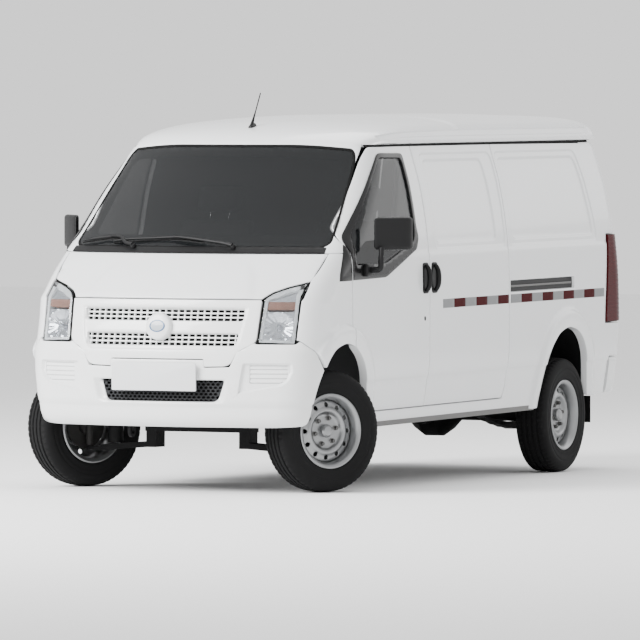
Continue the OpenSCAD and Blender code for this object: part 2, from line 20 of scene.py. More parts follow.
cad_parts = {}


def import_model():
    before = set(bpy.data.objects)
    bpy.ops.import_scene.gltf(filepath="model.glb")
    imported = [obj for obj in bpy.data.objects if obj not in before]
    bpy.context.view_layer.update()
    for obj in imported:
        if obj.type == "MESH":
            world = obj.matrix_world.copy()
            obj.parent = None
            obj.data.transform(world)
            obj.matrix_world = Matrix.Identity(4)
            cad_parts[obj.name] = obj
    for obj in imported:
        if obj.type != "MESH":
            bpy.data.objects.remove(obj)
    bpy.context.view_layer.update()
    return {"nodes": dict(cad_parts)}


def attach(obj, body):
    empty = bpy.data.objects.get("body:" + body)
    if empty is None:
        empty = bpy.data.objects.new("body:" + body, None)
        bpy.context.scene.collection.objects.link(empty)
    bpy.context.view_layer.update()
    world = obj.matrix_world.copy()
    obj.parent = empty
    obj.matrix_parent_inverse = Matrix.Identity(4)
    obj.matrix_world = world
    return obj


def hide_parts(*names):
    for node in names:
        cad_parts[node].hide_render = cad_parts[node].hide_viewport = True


Array = np.ndarray
LOG = logging.getLogger("van")

RAKE = math.radians(0.866)
FRONT_AXLE = -1.66
REAR_AXLE = 1.39
HUB_HEIGHT = 0.318
HALF_TRACK = 0.7
KINGPIN_X = 0.655
PARKED_STEER = math.radians(-28.8)
SEAM = 0.0022
LEFT, RIGHT = 1, -1
SIDES = ((LEFT, "left"), (RIGHT, "right"))
BODY = "van_body"
CHUNK = 4000
HALVINGS = 34


# ---- curves and meshes ----

def curve_through(xs: Sequence[float], ys: Sequence[float]) -> Callable[[Array], Array]:
    """A smooth curve through points that never swings past them.

    Each stretch is a cubic whose end slopes are the harmonic mean of the two neighbouring chords, or
    nothing where the chords turn back.

    Args:
        xs: Rising abscissae.
        ys: Values there.

    Returns:
        A function of an array of abscissae.
    """
    x, y = np.asarray(xs, float), np.asarray(ys, float)
    step, chord = np.diff(x), np.diff(y) / np.diff(x)
    product = chord[:-1] * chord[1:]
    total = np.where(np.abs(chord[:-1] + chord[1:]) < 1e-12, 1.0, chord[:-1] + chord[1:])
    inner = np.where(product > 0, 2 * product / total, 0.0)
    slope = np.concatenate([[chord[0]], inner, [chord[-1]]])

    def value(at: Array) -> Array:
        """The cubic's value, held at the end points beyond them.

        Args:
            at: Abscissae.

        Returns:
            The values.
        """
        at = np.clip(np.asarray(at, float), x[0], x[-1])
        i = np.clip(np.searchsorted(x, at, side="right") - 1, 0, len(step) - 1)
        t = (at - x[i]) / step[i]
        return ((1 + 2 * t) * (1 - t) ** 2 * y[i] + t * (1 - t) ** 2 * step[i] * slope[i]
                + t * t * (3 - 2 * t) * y[i + 1] + t * t * (t - 1) * step[i] * slope[i + 1])

    return value


def blend_inside(a: Array, b: Array, width: Array | float) -> Array:
    """Lower of two depths, with the corner between them rounded over a width."""
    h = np.maximum(width - np.abs(a - b), 0.0) / width
    return np.minimum(a, b) - h * h * width / 4


def step_up(at: Array, low: float, high: float) -> Array:
    """Smooth step: 0 below low, 1 above high, 3t^2 - 2t^3 between."""
    t = np.clip((at - low) / (high - low), 0.0, 1.0)
    return t * t * (3 - 2 * t)


def tip(points: Array) -> Array:
    """Turns level body points nose-down about the front axle line on the ground.

    Args:
        points: Level points, last axis x, y, z.

    Returns:
        The points with the rake.
    """
    out = np.array(points, float)
    y, z = out[..., 1] - FRONT_AXLE, out[..., 2].copy()
    out[..., 1] = FRONT_AXLE + y * math.cos(RAKE) - z * math.sin(RAKE)
    out[..., 2] = y * math.sin(RAKE) + z * math.cos(RAKE)
    return out


def mirrored(points: Array, side: int) -> Array:
    """The points for one side: side is 1 for the left, -1 for the right."""
    return np.asarray(points, float) * np.array([side, 1, 1])


def make_mesh(name: str, points: Array, faces: Sequence[Sequence[int]],
              finishes: Sequence["bpy.types.Material"],
              slots: Optional[Array] = None, sharp: float = 32.0, flip: bool = False) -> bpy.types.Object:
    """Puts points and faces into a new object at the origin.

    Args:
        name: Name of the piece.
        points: Vertices, n by 3, in metres.
        faces: Vertex numbers of each face.
        finishes: Materials, in slot order.
        slots: Slot number of each face.
        sharp: Angle in degrees past which an edge stays sharp.
        flip: Turns every face round.

    Returns:
        The new object.
    """
    mesh = bpy.data.meshes.new(name)
    loops = [tuple(reversed(f)) for f in faces] if flip else [tuple(f) for f in faces]
    mesh.from_pydata(np.asarray(points, float).tolist(), [], loops)
    for finish in finishes:
        mesh.materials.append(finish)
    if slots is not None:
        mesh.polygons.foreach_set("material_index", np.asarray(slots, np.int32))
    mesh.polygons.foreach_set("use_smooth", np.ones(len(mesh.polygons), bool))
    mesh.validate()
    mesh.update()
    mesh.set_sharp_from_angle(angle=math.radians(sharp))
    obj = bpy.data.objects.new(name, mesh)
    bpy.context.scene.collection.objects.link(obj)
    return obj


def grid_faces(rows: int, cols: int, wrap_rows: bool = False, wrap_cols: bool = False,
               start: int = 0) -> list:
    """Quads of a grid whose point (i, j) has number start + i * cols + j.

    Args:
        rows: Points along i.
        cols: Points along j.
        wrap_rows: Joins the last row to the first.
        wrap_cols: Joins the last column to the first.
        start: Number of the first point.

    Returns:
        Four vertex numbers a face.
    """
    i = np.arange(rows if wrap_rows else rows - 1)
    j = np.arange(cols if wrap_cols else cols - 1)
    a, b = np.meshgrid(i, j, indexing="ij")
    a, b = a.ravel(), b.ravel()
    c, d = (a + 1) % rows, (b + 1) % cols
    return (start + np.stack([a * cols + b, a * cols + d, c * cols + d, c * cols + b], 1)).tolist()


def plate_faces(tri: Array, count: int) -> list:
    """Faces of a plate: a sheet of triangles, its turned copy behind, and walls along the free edges.

    A free edge belongs to one triangle only.

    Args:
        tri: Vertex numbers of the sheet's triangles, m by 3.
        count: Number of the sheet's points; the copy's points follow them.

    Returns:
        The faces: sheet, copy, walls.
    """
    directed = np.concatenate([tri[:, [0, 1]], tri[:, [1, 2]], tri[:, [2, 0]]])
    half = np.sort(directed, axis=1)
    _, index, tally = np.unique(half[:, 0] * count + half[:, 1], return_index=True, return_counts=True)
    rim = directed[index[tally == 1]]
    walls = np.stack([rim[:, 1], rim[:, 0], rim[:, 0] + count, rim[:, 1] + count], 1)
    return tri.tolist() + (tri[:, ::-1] + count).tolist() + walls.tolist()


def end_caps(rows: int, cols: int) -> list:
    """The flat faces that close a tube of rings, first ring and last ring."""
    return [list(range(cols)), list(range((rows - 1) * cols, rows * cols))[::-1]]


def rounded(corners: Sequence[Sequence[float]], radius: float | Sequence[float],
            pitch: float = 0.012) -> Array:
    """Closed outline with its corners rounded and its sides divided.

    Each corner becomes a parabola that touches both sides at the radius from it, which is close to an arc.

    Args:
        corners: The outline's corners, in order.
        radius: Distance along the sides that each corner takes, one or one a corner.
        pitch: Greatest distance between points.

    Returns:
        Points of the outline, n by 2, without the first repeated.
    """
    pts = np.asarray(corners, float)
    n = len(pts)
    reach = np.broadcast_to(np.asarray(radius, float), (n,))
    out = []
    for k in range(n):
        here, last, nxt = pts[k], pts[k - 1], pts[(k + 1) % n]
        take = min(reach[k], 0.48 * np.linalg.norm(last - here), 0.48 * np.linalg.norm(nxt - here))
        a = here + (last - here) / np.linalg.norm(last - here) * take
        b = here + (nxt - here) / np.linalg.norm(nxt - here) * take
        t = np.linspace(0, 1, max(2, min(9, int(take / pitch * 2) + 3)))[:, None]
        out.append((1 - t) ** 2 * a + 2 * t * (1 - t) * here + t * t * b if take > 1e-6 else here[None])
    loop = np.concatenate(out)
    keep = np.linalg.norm(loop - np.roll(loop, 1, 0), axis=1) > 1e-6
    return divided(loop[keep], pitch, closed=True)


def box(left: float, low: float, right: float, high: float) -> tuple:
    """Corners of an upright rectangle, anticlockwise from its lower left."""
    return (left, low), (right, low), (right, high), (left, high)


def divided(line: Array, pitch: float, closed: bool = False) -> Array:
    """The same line with its long stretches divided evenly, so that no step passes the pitch.

    Args:
        line: Points, n by 2 or n by 3.
        pitch: Greatest step.
        closed: Divides the closing stretch too.

    Returns:
        Points of the divided line.
    """
    ends = np.concatenate([line, line[:1]]) if closed else line
    parts = []
    for a, b in zip(ends[:-1], ends[1:]):
        count = max(1, int(math.ceil(np.linalg.norm(b - a) / pitch)))
        parts.append(a + (b - a) * (np.arange(count) / count)[:, None])
    return np.concatenate(parts if closed else parts + [ends[-1:]])


def signed_area(loop: Array) -> float:
    """Area inside a closed outline, positive where it runs anticlockwise."""
    x, y = loop[:, 0], loop[:, 1]
    return 0.5 * float(np.sum(x * np.roll(y, -1) - y * np.roll(x, -1)))


def inset_loop(loop: Array, amount: float) -> Array:
    """Outline moved inwards by an amount along the mean normal of its two neighbouring sides.

    Args:
        loop: Closed outline, n by 2.
        amount: Distance inwards.

    Returns:
        The moved outline.
    """
    turn = 1.0 if signed_area(loop) > 0 else -1.0
    before, after = loop - np.roll(loop, 1, 0), np.roll(loop, -1, 0) - loop
    before /= np.linalg.norm(before, axis=1)[:, None]
    after /= np.linalg.norm(after, axis=1)[:, None]
    normal = np.stack([-(before + after)[:, 1], (before + after)[:, 0]], 1) * turn
    length = np.linalg.norm(normal, axis=1)[:, None]
    normal /= np.maximum(length, 1e-9)
    stretch = 1.0 / np.maximum(0.5, length / 2)
    return loop + normal * amount * stretch


def loop_distance(points: Array, loop: Array) -> Array:
    """Distance from each point to a closed outline.

    Args:
        points: Points, n by 2.
        loop: Closed outline, m by 2.

    Returns:
        Distances, n.
    """
    a, b = loop, np.roll(loop, -1, 0)
    best = np.full(len(points), np.inf)
    for start in range(0, len(points), CHUNK):
        p = points[start:start + CHUNK, None, :]
        t = np.clip(((p - a) * (b - a)).sum(2) / np.maximum(((b - a) ** 2).sum(1), 1e-18), 0, 1)
        best[start:start + CHUNK] = np.linalg.norm(p - (a + t[..., None] * (b - a)), axis=2).min(1)
    return best


def inside_loop(points: Array, loop: Array) -> Array:
    """Whether each point is inside a closed outline, by counting the sides that a ray to +x crosses.

    Args:
        points: Points, n by 2.
        loop: Closed outline, m by 2.

    Returns:
        True for each point inside.
    """
    a, b = loop, np.roll(loop, -1, 0)
    count = np.zeros(len(points), int)
    for start in range(0, len(points), CHUNK):
        p = points[start:start + CHUNK]
        px, py = p[:, :1], p[:, 1:]
        spans = (a[:, 1] > py) != (b[:, 1] > py)
        rise = np.where(b[:, 1] == a[:, 1], 1e-12, b[:, 1] - a[:, 1])
        cross = px < (b[:, 0] - a[:, 0]) * (py - a[:, 1]) / rise + a[:, 0]
        count[start:start + CHUNK] = (spans & cross).sum(1)
    return count % 2 == 1


# ---- the body's skin ----

@dataclass
class BodyForm:
    """The body's outer skin as depths: each depth is positive inside, and the skin is where it is nothing.

    Attributes:
        nose_line: Middle line of the nose, from the bumper's foot to the hood's rear edge: (y, z).
        screen_line: Middle line from the hood up the windscreen to the middle of the roof: (y, z).
        tail_line: Middle line of the tail, from its foot up: (z, y).
        side_line: Half width against height: (z, x).
        roof_line: Half section of the roof: (x, z).
        turn_y: Centre of the nose's bulge in plan.
    """
    nose_line: tuple = ((-2.148, .34), (-2.176, .364), (-2.194, .41), (-2.199, .452), (-2.209, .474),
                        (-2.21, .6),
                        (-2.204, .735), (-2.186, .785), (-2.172, .84), (-2.156, .905), (-2.136, .985),
                        (-2.128, 1.012), (-2.104, 1.034), (-1.98, 1.14), (-1.85, 1.235), (-1.815, 1.262),
                        (-1.775, 1.295), (-1.66, 1.398))
    screen_line: tuple = ((-1.98, 1.14), (-1.85, 1.235), (-1.815, 1.262), (-1.775, 1.295), (-1.66, 1.398),
                          (-1.53, 1.526), (-1.39, 1.664), (-1.25, 1.802), (-1.165, 1.848), (-1.028, 1.888),
                          (-.85, 1.922), (-.6, 1.949), (-.3, 1.968), (0.0, 1.976), (.4, 1.979))
    tail_line: tuple = ((.34, 2.196), (.78, 2.197), (1.000, 2.188), (1.3, 2.148), (1.56, 2.116),
                        (1.81, 2.088), (1.88, 2.052), (1.925, 1.972), (1.952, 1.8))
    side_line: tuple = ((.3, .782), (.327, .786), (.4, .795), (.565, .818), (.64, .826), (.72, .829),
                        (.96, .829), (1.1, .8275), (1.24, .8225), (1.34, .8125), (1.56, .7755),
                        (1.785, .7135), (1.815, .7065))
    roof_line: tuple = ((.7135, 1.785), (.7065, 1.815), (.7015, 1.842), (.692, 1.868), (.67, 1.893),
                        (.62, 1.919), (.54, 1.94), (.4, 1.959), (.2, 1.972), (0.0, 1.976))
    turn_y: float = 0.095
    front_y: float = -1.5
    rear_y: float = 1.5
    chart_z: float = 1.1

    def __post_init__(self) -> None:
        """Turns the lines of points into smooth curves."""
        nose, screen = np.array(self.nose_line), np.array(self.screen_line)
        self.nose_y = curve_through(nose[:, 1], nose[:, 0])
        self.screen_top = curve_through(screen[:, 0], screen[:, 1])
        self.screen_y = curve_through(screen[:, 1], screen[:, 0])
        tail = np.array(self.tail_line)
        self.tail_y = curve_through(tail[:, 0], tail[:, 1])
        side = np.array(self.side_line)
        self.half_width = curve_through(side[:, 0], side[:, 1])
        heights = np.linspace(side[0, 0], 1.785, 1500)
        roof = np.array(self.roof_line)
        along = np.concatenate([[0], np.cumsum(np.linalg.norm(np.diff(roof, axis=0), axis=1))])
        t = np.linspace(0, along[-1], 1500)
        x = np.concatenate([self.half_width(heights), curve_through(along, roof[:, 0])(t)[1:]])
        z = np.concatenate([heights, curve_through(along, roof[:, 1])(t)[1:]]) - self.chart_z
        self.section_angle, self.section_radius = np.arctan2(z, x), np.hypot(x, z)

    def side_depth(self, p: Array) -> Array:
        """Depth under the side skin: half width less |x|, over the slope's length."""
        slope = (self.half_width(p[:, 2] + .002) - self.half_width(p[:, 2] - .002)) / .004
        return (self.half_width(p[:, 2]) - np.abs(p[:, 0])) / np.sqrt(1 + slope ** 2)

    def section_depth(self, p: Array) -> Array:
        """Depth under the section of sides and roof, measured along rays from the cabin's middle.

        Args:
            p: Points, n by 3, in metres, level.

        Returns:
            Depth of each point, positive inside.
        """
        x, z = np.abs(p[:, 0]), p[:, 2] - self.chart_z
        angle, radius = np.arctan2(z, x), np.hypot(x, z)
        edge = np.interp(angle, self.section_angle, self.section_radius)
        turn = (np.interp(angle + .004, self.section_angle, self.section_radius)
                - np.interp(angle - .004, self.section_angle, self.section_radius)) / .008
        return (edge - radius) / np.sqrt(1 + (turn / edge) ** 2)

    def nose_depth(self, p: Array) -> Array:
        """Depth behind the nose, which turns about a far vertical axis.

        Args:
            p: Points, n by 3, in metres, level.

        Returns:
            Depth of each point, positive inside.
        """
        radius = np.hypot(p[:, 0], np.minimum(p[:, 1] - self.turn_y, 0))
        slope = (self.nose_y(p[:, 2] + .002) - self.nose_y(p[:, 2] - .002)) / .004
        return (self.turn_y - self.nose_y(p[:, 2]) - radius) / np.sqrt(1 + slope ** 2)

    def screen_depth(self, p: Array) -> Array:
        """Depth under the windscreen and the roof's front, turned about the same axis.

        Args:
            p: Points, n by 3, in metres, level.

        Returns:
            Depth of each point, positive inside.
        """
        reach = self.turn_y - np.hypot(p[:, 0], p[:, 1] - self.turn_y)
        reach = np.where(p[:, 1] > self.turn_y, self.turn_y, reach)
        slope = (self.screen_top(reach + .002) - self.screen_top(reach - .002)) / .004
        return (self.screen_top(reach) - p[:, 2]) / np.sqrt(1 + slope ** 2)

    def tail_depth(self, p: Array) -> Array:
        """Depth before the tail."""
        slope = (self.tail_y(p[:, 2] + .002) - self.tail_y(p[:, 2] - .002)) / .004
        return (self.tail_y(p[:, 2]) - p[:, 1]) / np.sqrt(1 + slope ** 2)

    def front_depth(self, p: Array) -> Array:
        """Depth under the nose and sides, their corner rounder low down."""
        width = np.interp(p[:, 2], [.9, 1.24], [.17, .1])
        return blend_inside(self.side_depth(p), self.nose_depth(p), width)

    def top_depth(self, p: Array) -> Array:
        """Depth under the roof, the sides and the windscreen.

        Args:
            p: Points, n by 3, in metres, level.

        Returns:
            Depth of each point, positive inside.
        """
        edge = np.interp(p[:, 1], [-1.55, -1.05], [.1, .12])
        front = blend_inside(self.section_depth(p), self.screen_depth(p), edge)
        return blend_inside(front, self.tail_depth(p), .1)

    def rear_depth(self, p: Array) -> Array:
        """Depth under the tail and the sides."""
        return blend_inside(self.side_depth(p), self.tail_depth(p), .17)

    def flank_depth(self, p: Array) -> Array:
        """Depth under one side, with the corners to the nose, the windscreen and the tail.

        Args:
            p: Points, n by 3, in metres, level.

        Returns:
            Depth of each point, positive inside.
        """
        share = step_up(p[:, 2], 1.18, 1.3)
        front = self.nose_depth(p) * (1 - share) + self.screen_depth(p) * share
        width = np.interp(p[:, 2], [.9, 1.24, 1.7], [.17, .1, .11])
        return blend_inside(blend_inside(self.side_depth(p), front, width), self.tail_depth(p), .17)

    def solve(self, place: Callable[[Array], Array], depth: Callable[[Array], Array], count: int,
              far: float = 3.2) -> Array:
        """Finds the skin along rays by halving: inside at the near end, outside at the far end.

        Args:
            place: Point of each ray at a distance.
            depth: Depth of points.
            count: Number of rays.
            far: Distance that is outside.

        Returns:
            The skin's points.
        """
        low, high = np.full(count, .05), np.full(count, far)
        for _ in range(HALVINGS):
            middle = (low + high) / 2
            inside = depth(place(middle)) > 0
            low, high = np.where(inside, middle, low), np.where(inside, high, middle)
        return place((low + high) / 2)


class Chart(Enum):
    """The ways of laying the skin out flat."""
    SIDE = "side"
    FRONT = "front"
    TOP = "top"
    REAR = "rear"


FRONT_ARC = 0.85
TOP_ARC = 0.95
FAN_Y = 1.75
FAN_ARC = 0.85


@dataclass
class Skin:
    """Flat coordinates on the body's skin.

    SIDE is (y, z). FRONT and REAR are (angle about an upright axis times an arm, z). TOP is (angle about a
    lengthwise axis times an arm, y).
    """
    form: BodyForm = field(default_factory=BodyForm)

    def point(self, chart: Chart, uv: Array) -> Array:
        """Level points of the skin at flat coordinates.

        Args:
            chart: Way of laying out.
            uv: Flat coordinates, n by 2.

        Returns:
            Points, n by 3.
        """
        u, v = uv[:, 0], uv[:, 1]
        form = self.form
        if chart is Chart.SIDE:
            fan = np.maximum(u - FAN_Y, 0) / FAN_ARC
            c, s, y = np.cos(fan), np.sin(fan), np.minimum(u, FAN_Y)
            return form.solve(lambda d: np.stack([d * c, y + d * s, v], 1), form.flank_depth, len(u), 1.6)
        if chart is Chart.TOP:
            fan = np.maximum(v - FAN_Y, 0) / FAN_ARC
            c, s = np.cos(u / TOP_ARC) * np.cos(fan), np.sin(u / TOP_ARC) * np.cos(fan)
            y = np.minimum(v, FAN_Y)
            return form.solve(lambda d: np.stack([d * c, y + d * np.sin(fan), form.chart_z + d * s], 1),
                              form.top_depth, len(u))
        s, c = np.sin(u / FRONT_ARC), np.cos(u / FRONT_ARC)
        if chart is Chart.FRONT:
            return form.solve(lambda d: np.stack([d * s, form.front_y - d * c, v], 1), form.front_depth,
                              len(u))
        return form.solve(lambda d: np.stack([d * s, form.rear_y + d * c, v], 1), form.rear_depth, len(u))

    def flat(self, chart: Chart, p: Array) -> Array:
        """Flat coordinates of level points near the skin.

        Args:
            chart: Way of laying out.
            p: Points, n by 3, in metres, level.

        Returns:
            Flat coordinates, n by 2.
        """
        form = self.form
        past = np.maximum(p[:, 1] - FAN_Y, 0)
        if chart is Chart.SIDE:
            fan = FAN_ARC * np.arctan2(past, p[:, 0])
            return np.stack([np.minimum(p[:, 1], FAN_Y) + fan, p[:, 2]], 1)
        if chart is Chart.TOP:
            rise = p[:, 2] - form.chart_z
            fan = FAN_ARC * np.arctan2(past, np.hypot(p[:, 0], rise))
            return np.stack([np.arctan2(rise, p[:, 0]) * TOP_ARC, np.minimum(p[:, 1], FAN_Y) + fan], 1)
        if chart is Chart.FRONT:
            return np.stack([np.arctan2(p[:, 0], form.front_y - p[:, 1]) * FRONT_ARC, p[:, 2]], 1)
        return np.stack([np.arctan2(p[:, 0], p[:, 1] - form.rear_y) * FRONT_ARC, p[:, 2]], 1)

    def from_front(self, chart: Chart, xz: Array) -> Array:
        """Flat coordinates of points given as (x, z) seen from the front or from behind.

        Args:
            chart: Way of laying out.
            xz: Points as seen, n by 2.

        Returns:
            Flat coordinates, n by 2.
        """
        sweep = np.linspace(-1.62, 1.62, 1200)
        out = np.empty_like(xz, dtype=float)
        heights = np.round(xz[:, 1], 3)
        for z in np.unique(heights):
            row = self.point(chart, np.stack([sweep, np.full_like(sweep, z)], 1))
            pick = heights == z
            out[pick, 0] = np.interp(xz[pick, 0], row[:, 0], sweep)
        out[:, 1] = xz[:, 1]
        return out

    def normal(self, chart: Chart, uv: Array, step: float = .0015) -> Array:
        """Outward unit normals, from the cross product of two short steps over the skin.

        Args:
            chart: Way of laying out.
            uv: Flat coordinates, n by 2.
            step: Length of the steps.

        Returns:
            Unit vectors, n by 3.
        """
        du, dv = np.array([step, 0]), np.array([0, step])
        a = self.point(chart, uv + du) - self.point(chart, uv - du)
        b = self.point(chart, uv + dv) - self.point(chart, uv - dv)
        n = np.cross(a, b)
        n /= np.maximum(np.linalg.norm(n, axis=1)[:, None], 1e-12)
        middle = self.point(chart, uv)
        away = middle - np.array([0, 0, self.form.chart_z * .9])
        away[:, 1] = 0 if chart in (Chart.SIDE, Chart.TOP) else away[:, 1]
        return n * np.where((n * away).sum(1) < 0, -1.0, 1.0)[:, None]


@dataclass
class Panel:
    """One pressed panel, cut from the skin along an outline and given a wall.

    Attributes:
        name: Name of the piece.
        chart: Flat layout that the outline is in.
        outline: Closed outline, n by 2.
        holes: Outlines cut out of it.
        wall: Thickness of the panel, metres.
        pitch: Spacing of points inside.
        hem: Radius of the rounded edge.
        relief: Depth of pressings below the skin at flat coordinates, or None.
        guides: Lines that points are laid along, where a pressing needs them.
        lift: Height of the whole outer face over the skin.
    """
    name: str
    chart: Chart
    outline: Array
    holes: tuple = ()
    wall: float = .03
    pitch: float = .02
    hem: float = .0025
    relief: Optional[Callable[[Array], Array]] = None
    guides: tuple = ()
    lift: float = 0.0

    def points(self) -> tuple[Array, Array, list]:
        """Lays out the points: rims at three depths of hem, guides, then an inner grid.

        Returns:
            Flat points, the hem's drop at each, and the rim loops as pairs of start and length.
        """
        laid, drops, rims = [], [], []
        count = 0
        for k, loop in enumerate((self.outline,) + tuple(self.holes)):
            sign = 1.0 if k == 0 else -1.0
            for share, drop in ((0.0, 1.0), (0.35, 0.24), (1.0, 0.0)):
                ring = inset_loop(loop, sign * share * self.hem)
                if share == 0.0:
                    rims.append((count, len(ring)))
                laid.append(ring)
                drops.append(np.full(len(ring), drop * self.hem))
                count += len(ring)
        extra = []
        for line in self.guides:
            inside = inside_loop(line, self.outline) & (loop_distance(line, self.outline) > .004)
            for hole in self.holes:
                inside &= ~inside_loop(line, hole) & (loop_distance(line, hole) > .004)
            laid.append(line[inside])
            drops.append(np.zeros(int(inside.sum())))
            extra.append(line[inside])
        low, high = self.outline.min(0), self.outline.max(0)
        u = np.arange(low[0] + self.pitch / 2, high[0], self.pitch)
        v = np.arange(low[1] + self.pitch / 2, high[1], self.pitch)
        grid = np.stack([a.ravel() for a in np.meshgrid(u, v)], 1)
        grid[:, 0] += np.where((np.round((grid[:, 1] - v[0]) / self.pitch) % 2) > 0, self.pitch / 2, 0)
        grid = grid[inside_loop(grid, self.outline)]
        for k, loop in enumerate((self.outline,) + tuple(self.holes)):
            grid = grid[loop_distance(grid, loop) > .45 * self.pitch + self.hem]
            if k:
                grid = grid[~inside_loop(grid, loop)]
        for line in extra:
            for start in range(0, len(line), 400):
                part = line[start:start + 400]
                if len(part) and len(grid):
                    near_by = np.linalg.norm(grid[:, None] - part[None], axis=2).min(1)
                    grid = grid[near_by > .5 * self.pitch]
        laid.append(grid)
        drops.append(np.zeros(len(grid)))
        return np.concatenate(laid), np.concatenate(drops), rims

    def build(self, skin: Skin, finishes: Sequence["bpy.types.Material"],
              side: int = 1) -> bpy.types.Object:
        """Makes the panel.

        Args:
            skin: The body's skin.
            finishes: Outer finish, then the inner one if it differs.
            side: 1 for the left side, -1 for its mirror image.

        Returns:
            The panel's object.
        """
        uv, drop, rims = self.points()
        edges = [(s + i, s + (i + 1) % n) for s, n in rims for i in range(n)]
        verts, _, faces, origin, _, _ = delaunay_2d_cdt(uv.tolist(), edges, [], 0, 1e-7)
        number = np.array([o[0] if o else -1 for o in origin])
        flat = np.array([tuple(v) for v in verts])
        tri = np.array([f for f in faces if len(f) == 3])
        centre = flat[tri].mean(1)
        keep = inside_loop(centre, self.outline)
        for hole in self.holes:
            keep &= ~inside_loop(centre, hole)
        tri = tri[keep]
        sink = np.where(number >= 0, drop[np.maximum(number, 0)], 0.0)
        skin_points = skin.point(self.chart, flat)
        normal = skin.normal(self.chart, flat)
        depth = sink - self.lift + (self.relief(flat) if self.relief else 0.0)
        outer = skin_points - normal * depth[:, None]
        inner = skin_points - normal * self.wall
        n = len(flat)
        turned = np.cross(outer[tri[:, 1]] - outer[tri[:, 0]], outer[tri[:, 2]] - outer[tri[:, 0]])
        wrong = (turned * normal[tri[:, 0]]).sum(1) < 0
        tri[wrong] = tri[wrong][:, ::-1]
        all_faces = plate_faces(tri, n)
        slots = np.zeros(len(all_faces), int)
        if len(finishes) > 1:
            slots[len(tri):2 * len(tri)] = 1
        points = mirrored(np.concatenate([outer, inner]), side)
        return make_mesh(self.name, tip(points), all_faces, finishes, slots, 40, side < 0)


    def fitted(self, skin: Skin, side: int, finishes: Sequence["Finish"], body: str, slot: str,
               *nodes: str) -> bpy.types.Object:
        """Builds the panel and fits it to a body.

        Args:
            skin: The body's skin.
            side: 1 for the left side and for middle pieces, -1 for the mirror image.
            finishes: Outer finish, then the inner one if it differs.
            body: Body that it rides on.
            slot: Material slot's name.
            nodes: CAD nodes that it replaces.

        Returns:
            The fitted piece.
        """
        return fit(self.build(skin, [finish.material() for finish in finishes], side), body, slot, *nodes)


# ---- finishes ----

